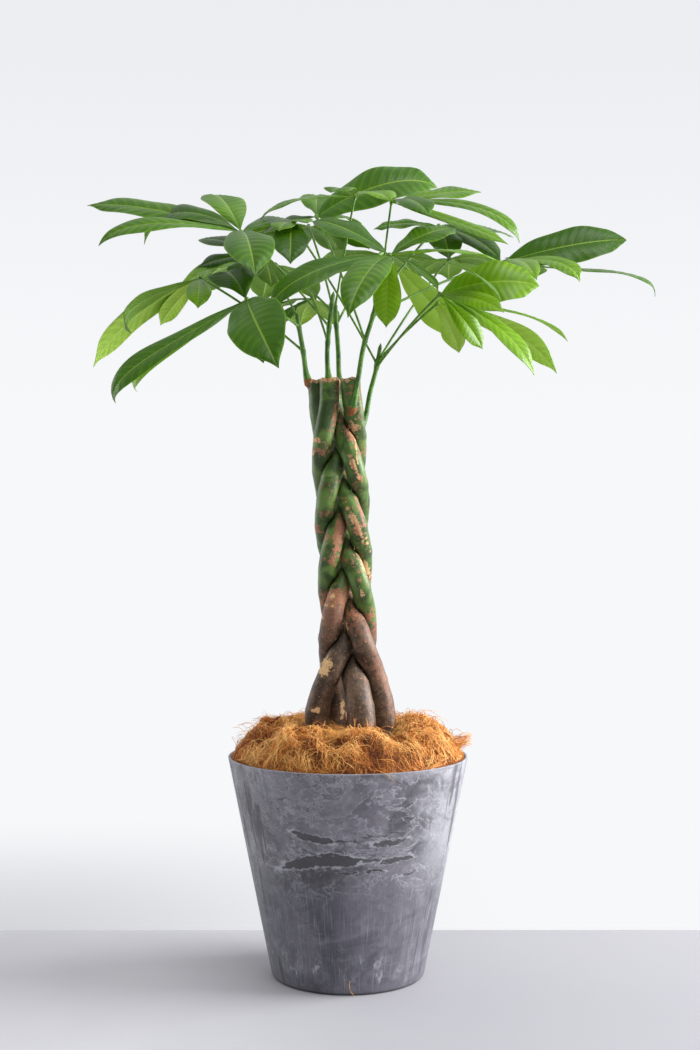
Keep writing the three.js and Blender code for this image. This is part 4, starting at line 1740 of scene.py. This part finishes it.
@dataclass
class Shoots:
    """The thin green shoots, each with a callus at its stem, swellings at its leaf stalks and a bud."""

    sides: int = 16
    rings: int = 72
    radii: tuple[float, ...] = (3.7, 3.5, 3.2, 2.8)
    end_radius: float = 2.0
    bud: tuple[float, ...] = (0.85, 0.55, 0.15)
    callus: float = 2.6
    callus_reach: float = 13.0
    callus_at: tuple[float, ...] = (15.0, 15.0, 15.0, 12.0, 12.0)
    joint: float = 0.7
    joint_reach: float = 3.5

    def build(self, skin: Material, leaves: "list[Leaf]") -> None:
        """Model and dress the shoots.

        Args:
            skin: the material of the stalks.
            leaves: the leaves, whose stalks leave the shoots.
        """
        template = RingTemplate(self.sides, self.rings)
        for index, route in enumerate(SHOOTS):
            path = route.path(self.rings - 1)
            share = np.linspace(0, 1, self.rings)
            radii = np.interp(share, np.linspace(0, 1, len(self.radii)), self.radii)
            radii = radii - (self.radii[-1] - self.end_radius) * smoothstep(0.93, 1.0, share)
            off = run_length(path) - self.callus_at[index]
            radii = radii + self.callus * hump(off, self.callus_reach)
            for leaf in leaves:
                if leaf.shoot == index + 1:
                    radii = radii + self.joint * hump(path[:, 2] - leaf.start, self.joint_reach)
            radii[-len(self.bud):] *= self.bud
            age = np.clip(1.25 * hump(off + 3.0, 10.0), 0, 1)
            piece = stalk(template, f"shoot_{index + 1}_stalk", path, radii, age, 40.0 * index)
            dress(piece, skin)
            settle(piece, f"shoot_{index + 1}")
        template.discard()


# Leaves

BLADE_MAP = "UVMap"
# A blade's pairs of side veins, how far they lead to the tip, as a share of its length, and how they curve
VEIN_PAIRS = 14
VEIN_LEAD = 0.105
VEIN_CURVE = 1.25
FAN_SPREAD = 78.0


@dataclass(frozen=True)
class Leaflet:
    """One blade: the reach from hub to tip, its width, the arch of its rib and its roll in degrees.

    The tone goes from 0, deep green, to 1, bright yellow-green. It is the leaflet's own green with painted
    shade and backlight mixed in, and where it is None the leaf's own tone holds. The hook says how far the
    arch moves to the tip, and the lead how much of it the foot has. The belly sets where the blade is widest,
    and the fullness how blunt its ends are.
    """

    reach: Place
    width: float
    arch: float
    roll: float = 0.0
    tone: float | None = None
    hook: float = 0.03
    lead: float = 1.0
    belly: float = 1.27
    fullness: float = 0.9


@dataclass(frozen=True)
class Leaf:
    """One leaf: its shoot, the height where it leaves it, its hub, how far it faces back, and its blades."""

    shoot: int
    start: float
    hub: Place
    tilt: float
    tone: float
    leaflets: tuple[Leaflet, ...]


def blade(x: float, y: float, z: float, *sizes: float, **options: float) -> Leaflet:
    """A leaflet from the parts of its reach, its width, its arch, its roll and any other of its values."""
    return Leaflet((x, y, z), *sizes, **options)


def fan(heading: float, count: int, reach: float, width: float, droop: float) -> tuple[Leaflet, ...]:
    """Leaflets spread evenly about a heading, longest in the middle.

    Args:
        heading: the middle one's heading in degrees.
        count: how many there are.
        reach: the length of the longest.
        width: the width of the widest.
        droop: how far they fall for each millimetre of length.

    Returns:
        The leaflets.
    """
    blades = []
    for off in np.linspace(-1, 1, count):
        length = reach * (1 - 0.25 * abs(off))
        x, y = polar(length, math.radians(heading + FAN_SPREAD * off))
        fall = -droop * length * (0.6 + 0.4 * abs(off))
        blades.append(blade(x, y, fall, width * (1 - 0.15 * abs(off)), 0.14 * length))
    return tuple(blades)


# The tones hold each leaflet's own green with painted shade and painted backlight mixed in
LEAVES = [
    # Left side
    Leaf(2, 893, (-146, -20, 1018), -0.7, 0.42, (
        blade(-223, 70, 51, 56, 14, tone=0.55), blade(-141, 60, -6, 60, 50, tone=0.35),
        blade(-185, -60, -31, 42, 28, tone=0.55, hook=0.14), blade(-50, 120, 76, 62, 14, 10, tone=0.58),
        blade(29, -150, -85, 66, 26, tone=0.5), blade(70, 110, 35, 44, 10))),
    Leaf(1, 890, (-131, -130, 909), -0.9, 0.34, (
        blade(-36, 80, 46, 66, 16, tone=0.2),
        blade(-163, -40, -138, 42, 34, 6, tone=0.48, hook=0.24, lead=0.4, belly=1.1),
        blade(48, -130, -103, 76, 30, 22, belly=0.95, tone=0.47),
        blade(-147, 40, -116, 26, 32, -10, tone=0.9, hook=0.24, lead=0.55), blade(23, -20, -85, 40, 8))),
    Leaf(1, 856, (-209, 50, 966), 0.35, 0.80, (
        blade(-146, -30, -129, 54, 28, 8, hook=0.02, belly=1.08, tone=0.84),
        blade(-87, -70, -87, 30, 36, 30, hook=0.2, tone=0.42),
        blade(-59, 20, -64, 36, 8, tone=0.85), blade(7, -100, -57, 35, 10, tone=0.7),
        blade(18, 52, 18, 34, 6))),
    Leaf(1, 902, (-119, 14, 992), -0.6, 0.36, (
        blade(-89, -16, -21, 44, 8, tone=0.12), blade(-98, 84, 37, 42, 10), blade(-30, -76, -50, 50, 8),
        blade(9, 64, -34, 42, 10))),
    # Middle
    Leaf(5, 842, (-77, -20, 1030), -0.4, 0.34, (
        blade(-14, -70, -25, 32, 7, tone=0.6), blade(2, -90, -72, 50, 18, tone=0.34),
        blade(24, -58, -12, 28, 5, tone=0.6), blade(60, 38, -30, 44, 12))),
    Leaf(4, 866, (-46, 110, 1066), -0.8, 0.5, (
        blade(175, -10, 40, 80, 34, 12, belly=0.9, fullness=0.6, hook=0.08, tone=0.5),
        blade(-2, 100, 52, 52, 10), blade(-90, 70, -20, 46, 12, tone=0.2), blade(60, 110, 10, 50, 10))),
    Leaf(3, 926, (10, 45, 1080), -0.3, 0.5, (
        blade(47, -90, -26, 50, 12, tone=0.7), blade(-133, -14, -36, 40, 18, tone=0.6, hook=0.1),
        blade(-33, -80, -12, 44, 10))),
    Leaf(4, 948, (60, 0, 1063), -0.6, 0.6, (
        blade(170, -60, -68, 34, 34, tone=0.6, hook=0.16), blade(128, 46, 24, 46, 6, tone=0.6),
        blade(158, -30, -64, 36, 6, tone=0.68), blade(47, -100, -40, 46, 16, tone=0.45))),
    Leaf(4, 917, (128, 45, 1039), -0.5, 0.3, (
        blade(80, -70, -61, 48, 12, tone=0.2), blade(113, 70, -3, 40, 8),
        blade(9, -80, -61, 46, 12, tone=0.25), blade(-92, 10, -3, 44, 8, tone=0.55),
        blade(70, 130, -10, 54, 18))),
    Leaf(4, 956, (54, -120, 968), -0.55, 0.5, (
        blade(-155, -30, -75, 48, 30, -12, tone=0.45, hook=0.1),
        blade(-54, -110, -97, 54, 26, belly=1.0, tone=0.55), blade(-102, 50, 54, 58, 12, tone=0.42),
        blade(90, 50, 43, 54, 12, tone=0.5), blade(143, 20, -4, 46, 12, -15, tone=0.7),
        blade(137, -80, -72, 30, 24, -30, tone=0.5, hook=0.08), blade(59, -80, -60, 26, 12, -25, tone=0.4),
        blade(-4, 10, -93, 37, 6, belly=1.1, tone=0.92))),
    Leaf(4, 933, (61, 10, 982), 0.3, 1.3, (blade(89, 50, -102, 62, 12),)),
    # Right side
    Leaf(5, 838, (124, -50, 928), -1.4, 0.80, (
        blade(130, -30, 6, 68, 22, 8, belly=1.02, fullness=0.66, tone=0.78),
        blade(121, -50, -115, 36, 26, -20, hook=0.06), blade(58, 10, -73, 34, 10, tone=0.75),
        blade(78, -80, -36, 32, 12, tone=0.85))),
    Leaf(5, 846, (124, 0, 923), 0.1, 0.75, (
        blade(163, -10, -98, 50, 28, -24, hook=0.06, tone=0.95), blade(188, 60, -45, 34, 22, 15, hook=0.1),
        blade(31, 20, -66, 44, 6, tone=1.2))),
    Leaf(4, 901, (223, 60, 991), -0.7, 0.42, (
        blade(169, -20, 27, 60, 14, 28, belly=1.02, fullness=0.62, tone=0.42),
        blade(205, -40, -56, 32, 32, -20, tone=0.5, hook=0.22, lead=0.15),
        blade(91, -100, -45, 38, 22, tone=0.7, hook=0.2), blade(29, -130, -47, 34, 18, tone=0.7),
        blade(60, 140, 0, 60, 18))),
    # Back
    Leaf(3, 912, (-110, 190, 1010), 0.3, 0.35, fan(140, 5, 168, 60, 0.3)),
    Leaf(3, 898, (50, 210, 1030), 0.3, 0.4, fan(100, 5, 140, 56, 0.25)),
    Leaf(5, 846, (150, 150, 1012), 0.3, 0.5, fan(48, 5, 100, 48, 0.25)),
    Leaf(2, 925, (-60, 200, 1070), 0.3, 0.4, fan(105, 5, 140, 54, 0.25)),
    Leaf(2, 872, (-52, 95, 945), -0.2, 0.4, (
        blade(-50, -10, -52, 46, 12), blade(-70, 50, -20, 44, 10), blade(-20, 80, -30, 44, 10, tone=0.7),
        blade(30, 60, -30, 40, 8, tone=0.7))),
]


@dataclass
class BladeTemplate:
    """A flat leaflet of unit length and half width, with its skin's thickness, modelled once."""

    skins: list[Material]
    steps: int = 64
    thickness: float = 0.7
    rib_height: float = 0.8
    # How far from the rib the lengthwise lines lie, as shares of half the width
    lines: tuple[float, ...] = (0.0, 0.03, 0.085, 0.22, 0.41, 0.61, 0.81, 1.0)
    source: Piece = field(init=False)
    flat: Array = field(init=False)

    def __post_init__(self) -> None:
        """Add a grid, give it a skin and thicken it under the rib."""
        start_clean()
        last = len(self.lines) - 1
        bpy.ops.mesh.primitive_grid_add(x_subdivisions=self.steps, y_subdivisions=2 * last, size=1.0)
        self.source = bpy.context.object
        mesh = self.source.data
        places = read_places(mesh)
        places[:, 0] = places[:, 0] + 0.5
        column = np.rint((places[:, 1] + 0.5) * 2 * last).astype(int) - last
        places[:, 1] = np.sign(column) * np.array(self.lines)[np.abs(column)]
        write_places(mesh, places)
        self.chart(mesh)
        skin = self.source.modifiers.new("skin", "SOLIDIFY")
        skin.thickness = self.thickness
        skin.offset = -1.0
        skin.material_offset = Face.UNDER.value
        dress(self.source, *self.skins)
        apply_modifiers(self.source)
        bpy.ops.object.shade_smooth()
        bpy.ops.object.mode_set(mode="EDIT")
        bpy.ops.mesh.select_all(action="DESELECT")
        bpy.ops.mesh.edges_select_sharp(sharpness=math.radians(60))
        bpy.ops.mesh.mark_sharp()
        bpy.ops.object.mode_set(mode="OBJECT")
        self.flat = read_places(mesh)
        share, across, depth = self.flat.T
        ridge = np.clip(1 - np.abs(across) / self.lines[2], 0, 1)
        under = depth < -0.5 * self.thickness
        depth -= np.where(under, self.rib_height * ridge * (1 - 0.85 * share), 0.0)

    def chart(self, mesh: Mesh) -> None:
        """Lay the map out along and across the blade.

        Args:
            mesh: the flat grid.
        """
        layer = mesh.uv_layers.get(BLADE_MAP) or mesh.uv_layers.new(name=BLADE_MAP)
        corners = np.empty(len(mesh.loops), dtype=np.int32)
        mesh.loops.foreach_get("vertex_index", corners)
        chart = read_places(mesh)[corners, :2] * (1.0, 0.5) + (0.0, 0.5)
        layer.data.foreach_set("uv", chart.astype(np.float32).ravel())


@dataclass
class Crown:
    """All the leaves: each a stalk with a swollen hub and its blades, joined in one piece."""

    foot: float = 2.0
    foot_half: float = 1.3
    tip_half: float = 0.35
    fold: float = 0.24
    curl: float = 0.23
    pleat: float = 1.15
    wave: float = 1.8
    wide: float = 60.0
    stalk_sides: int = 10
    stalk_rings: int = 26
    stalk_radius: float = 1.75
    foot_swell: float = 0.9
    hub_swell: float = 1.7
    # How far past the hub the last rings lie, and how much of the hub's radius they have
    hub_steps: tuple[float, ...] = (0.8, 1.9, 2.4)
    hub_shares: tuple[float, ...] = (0.97, 0.8, 0.3)

    def half_width(self, share: Array, leaflet: Leaflet) -> Array:
        """Half the width of a leaflet along its rib: wedge shaped at the foot and drawn out to a point.

        Args:
            share: places along the rib, from 0 to 1.
            leaflet: the leaflet.

        Returns:
            Half the width at each place.
        """
        body = np.maximum(np.sin(math.pi * np.minimum(share**leaflet.belly, 1.0)), 0.0) ** leaflet.fullness
        shape = body * (1 - 0.45 * smoothstep(0.8, 1.0, share))
        least = self.foot_half + (self.tip_half - self.foot_half) * np.clip(4 * share, 0, 1)
        return np.maximum(0.5 * leaflet.width * shape, least)

    def bend(self, leaf: Leaf, leaflet: Leaflet, flat: Array, seed: int) -> Array:
        """Lay the flat blade along its arched rib.

        Args:
            leaf: the leaf that it belongs to.
            leaflet: the leaflet.
            flat: the corners of the flat blade.
            seed: the number that its waves are drawn from.

        Returns:
            The places of the corners, in millimetres.
        """
        draw = np.random.default_rng(seed)
        hub, chord = np.array(leaf.hub, dtype=float), np.array(leaflet.reach, dtype=float)
        along = unit(chord)
        face = unit(np.array([0.0, leaf.tilt, 1.0]))
        normal = unit(face - face.dot(along) * along)
        roll = math.radians(leaflet.roll)
        normal = normal * math.cos(roll) + np.cross(along, normal) * math.sin(roll)
        hook, arch = leaflet.hook, leaflet.arch * normal
        corners = [hub + self.foot * along, hub + (0.35 + 0.5 * hook) * chord + leaflet.lead * arch,
                   hub + (0.75 + hook) * chord + (1 + 2 * hook) * arch, hub + chord]
        share, across, depth = flat.T
        tangent = unit(bezier([b - a for a, b in zip(corners, corners[1:])], share))
        up = unit(normal - (tangent @ normal)[:, None] * tangent)
        half = self.half_width(share, leaflet)
        off = np.abs(across)
        pleats = 0.5 - 0.5 * np.cos(FULL_TURN * VEIN_PAIRS * (share - VEIN_LEAD * off**VEIN_CURVE))
        size = leaflet.width / self.wide
        body = np.sin(math.pi * np.clip(share, 0, 1))
        lift = half * (self.fold * off - self.curl * off**2)
        lift += self.pleat * size * pleats * np.sin(math.pi * off) * np.clip(3 * body, 0, 1)
        ripple = np.sin(FULL_TURN * (draw.uniform(1.6, 3.0) * share + draw.uniform(0, 1)) + across * 1.2)
        lift += self.wave * size * ripple * off**2 * np.clip(2 * body, 0, 1)
        lift += depth * (0.7 + 0.3 * np.clip(half / 6.0, 0, 1))
        return bezier(corners, share) + np.cross(up, tangent) * (across * half)[:, None] + up * lift[:, None]

    def leaf_stalk(self, number: int, leaf: Leaf, template: RingTemplate) -> Piece:
        """The stalk of a leaf, from its shoot to the swollen hub that the blades spread from.

        Args:
            number: the leaf's number, from 1.
            leaf: what it is.
            template: the straight stalk.

        Returns:
            The stalk.
        """
        hub = np.array(leaf.hub, dtype=float)
        start = SHOOTS[leaf.shoot - 1].at(leaf.start)
        length = np.linalg.norm(hub - start)
        middle = 0.5 * (start + hub) + np.array([0.0, 0.0, 0.06 * length])
        past = len(self.hub_steps)
        share = np.linspace(0, 1, self.stalk_rings - past)
        path = bezier([start, middle, hub], share)
        path = np.vstack([path, hub + np.array(self.hub_steps)[:, None] * unit(hub - path[-2])])
        along = np.concatenate([share, np.ones(past)]) * length
        swell = self.hub_swell * hump(length - along, 3.2) + self.foot_swell * hump(along - 3.0, 4.5)
        radii = self.stalk_radius + swell
        radii[-past:] *= self.hub_shares
        return stalk(template, "stalk", path, radii, 0.2 * hump(along, 4.0), 17.0 * number)

    def build_leaf(self, number: int, leaf: Leaf, blades: BladeTemplate, stalks: RingTemplate) -> None:
        """Model and dress one leaf.

        Args:
            number: the leaf's number, from 1.
            leaf: what it is.
            blades: the flat blade.
            stalks: the straight stalk.
        """
        whole = self.leaf_stalk(number, leaf, stalks)
        dress(whole, *blades.skins)
        faces = whole.data.polygons
        faces.foreach_set("material_index", np.full(len(faces), Face.STALK.value, dtype=np.int32))
        draw = np.random.default_rng(400 + number)
        pieces = []
        for i, leaflet in enumerate(leaf.leaflets):
            mesh = blades.source.data.copy()
            write_places(mesh, self.bend(leaf, leaflet, blades.flat, 1000 * number + i) * MM)
            tone = leaf.tone + draw.normal(0, 0.05) if leaflet.tone is None else leaflet.tone
            write_attribute(mesh, "tone", np.full(len(mesh.vertices), tone))
            pieces.append(link("blade", mesh))
        select_only(whole)
        for piece in pieces:
            piece.select_set(True)
        bpy.ops.object.join()
        whole.name = whole.data.name = f"leaf_{number:02d}_blades"
        settle(whole, f"leaf_{number:02d}")

    def build(self, skins: list[Material]) -> None:
        """Model and dress every leaf.

        Args:
            skins: the materials of the top, the underside and the stalk.
        """
        blades = BladeTemplate(skins)
        stalks = RingTemplate(self.stalk_sides, self.stalk_rings)
        for number, leaf in enumerate(LEAVES, start=1):
            self.build_leaf(number, leaf, blades, stalks)
        stalks.discard()
        bpy.data.objects.remove(blades.source)


# Studio


@dataclass(frozen=True)
class Lamp:
    """One square soft light, with its place, what it faces, its size in metres and its power in watts."""

    name: str
    place: Place
    aim: Place
    size: float
    power: float

    def hang(self) -> None:
        """Hang it and turn it to what it faces."""
        start_clean()
        bpy.ops.object.light_add(type="AREA", location=self.place)
        lamp = bpy.context.object
        lamp.name = self.name
        lamp.data.size = self.size
        lamp.data.energy = self.power
        x, y, z = np.array(self.place) - np.array(self.aim)
        lamp.rotation_euler = (math.atan2(math.hypot(x, y), z), 0.0, math.atan2(x, -y))


@dataclass(frozen=True)
class Studio:
    """The camera, the pale floor and the soft light."""

    eye: Place = (0.0028, -2.05, 0.617)
    focal_pixels: float = 1485.0
    tall_pixels: float = 1050.0
    sensor: float = 36.0
    floor_end: float = 0.212
    # The floor is painted lighter on the left and darker on the right, as painted light and shade
    floor_left: Colour = srgb(180, 179, 184)
    floor_right: Colour = srgb(153, 152, 157)
    floor_dark: Colour = srgb(150, 149, 156)
    backdrop: Colour = srgb(247, 248, 250)
    # Painted shade at the top of the backdrop, and a painted soft shadow low on its left
    backdrop_top: Colour = srgb(235, 237, 241)
    backdrop_shade: Colour = srgb(211, 212, 217)
    # A large window on the right, a soft ceiling, and the fill that a bright wall on the left gives
    lamps: tuple[Lamp, ...] = (
        Lamp("window", (2.95, 0.1, 1.5), (0.0, 0.0, 0.55), 2.2, 225.0),
        Lamp("ceiling", (0.5, -1.1, 2.8), (0.0, 0.0, 0.8), 1.4, 22.0),
        Lamp("far_wall", (-2.1, 0.7, 0.9), (0.0, 0.0, 0.4), 1.9, 22.0))

    def build(self) -> None:
        """Set up everything that isn't part of the object."""
        self.camera()
        self.floor()
        self.room()
        for lamp in self.lamps:
            lamp.hang()
        bpy.context.scene.view_settings.view_transform = "Standard"

    def camera(self) -> None:
        """Look level at the plant from the front."""
        start_clean()
        bpy.ops.object.camera_add(location=self.eye, rotation=(math.pi / 2, 0.0, 0.0))
        camera = bpy.context.object
        camera.data.sensor_width = self.sensor
        camera.data.lens = self.sensor * self.focal_pixels / self.tall_pixels
        bpy.context.scene.camera = camera

    def floor(self) -> None:
        """A pale floor, painted lighter on the left and darker on the right, that turns into a glowing white
        backdrop behind the pot with a painted soft shadow low on its left.
        """
        start_clean()
        bpy.ops.mesh.primitive_plane_add(size=24.0)
        floor = bpy.context.object
        floor.name = "studio_floor"
        paint = Paint("pale_floor")
        place = paint.place()
        x, y, _ = paint.split(place)
        # Painted light and shade: lighter on the left, darker on the right
        paint.tone = paint.blend(x.rise(-0.3, 0.2), self.floor_left, self.floor_right)
        paint.coat(self.floor_dark, paint.noise(place, 1.6, 4.0, 0.55).rise(0.35, 0.7), 0.4)
        paint.finish(0.75)
        # A painted soft shadow on the glowing backdrop, low and to the left of the pot
        shade = y.rise(1.1, 0.1) * x.rise(0.3, -0.55)
        glow = paint.out("ShaderNodeEmission", paint.blend(shade, self.backdrop, self.backdrop_shade), 1.0)
        paint.mix_in(paint.math("GREATER_THAN", y, self.floor_end), glow)
        dress(floor, paint.material)

    def room(self) -> None:
        """A bright room, brightest on the right, which the camera sees as a backdrop with painted shade
        towards the top.
        """
        world = bpy.data.worlds.new("bright_room")
        bpy.context.scene.world = world
        world.use_nodes = True
        world.node_tree.nodes.clear()
        graph = Graph(world.node_tree)
        x, y, z = graph.split(graph.place("Generated"))
        strength = x.rise(-0.6, 1.0, 0.30, 1.0) + z.rise(0.2, 1.0, 0.0, 0.2) + y.rise(0.1, 1.0, 0.0, 0.5)
        light = graph.out("ShaderNodeBackground", (0.96, 0.97, 1.0, 1.0), strength)
        # Painted shade: the backdrop is a little darker towards the top
        tone = graph.blend(z.rise(0.05, 0.36), self.backdrop, self.backdrop_top)
        seen = graph.out("ShaderNodeBackground", tone, 1.0)
        # What a light path puts out first is whether the ray comes from the camera
        camera_ray = graph.out("ShaderNodeLightPath")
        graph.add("ShaderNodeOutputWorld", graph.out("ShaderNodeMixShader", camera_ray, light, seen))


def main() -> None:
    """Build the plant in order."""
    logging.basicConfig(level=logging.INFO, format="%(message)s")
    effects = Effects()
    Studio().build()
    Pot().build(MottledStone().build(effects))
    dress(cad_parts["soil"], DampSoil().build(effects))
    LOG.info("soil: packed node with its own finish")
    matted = CoirFibre(name="matted_coir", single=False)
    CoirMulch().build(matted.build(effects), CoirFibre().build(effects))
    Braid().build(BraidBark().build(effects), CutWood().build(effects))
    Shoots().build(GreenStalk().build(effects), LEAVES)
    Crown().build([skin.build(effects) for skin in (TOP_SKIN, UNDER_SKIN, LEAF_STALK)])
    start_clean()


if __name__ == "__main__":
    main()
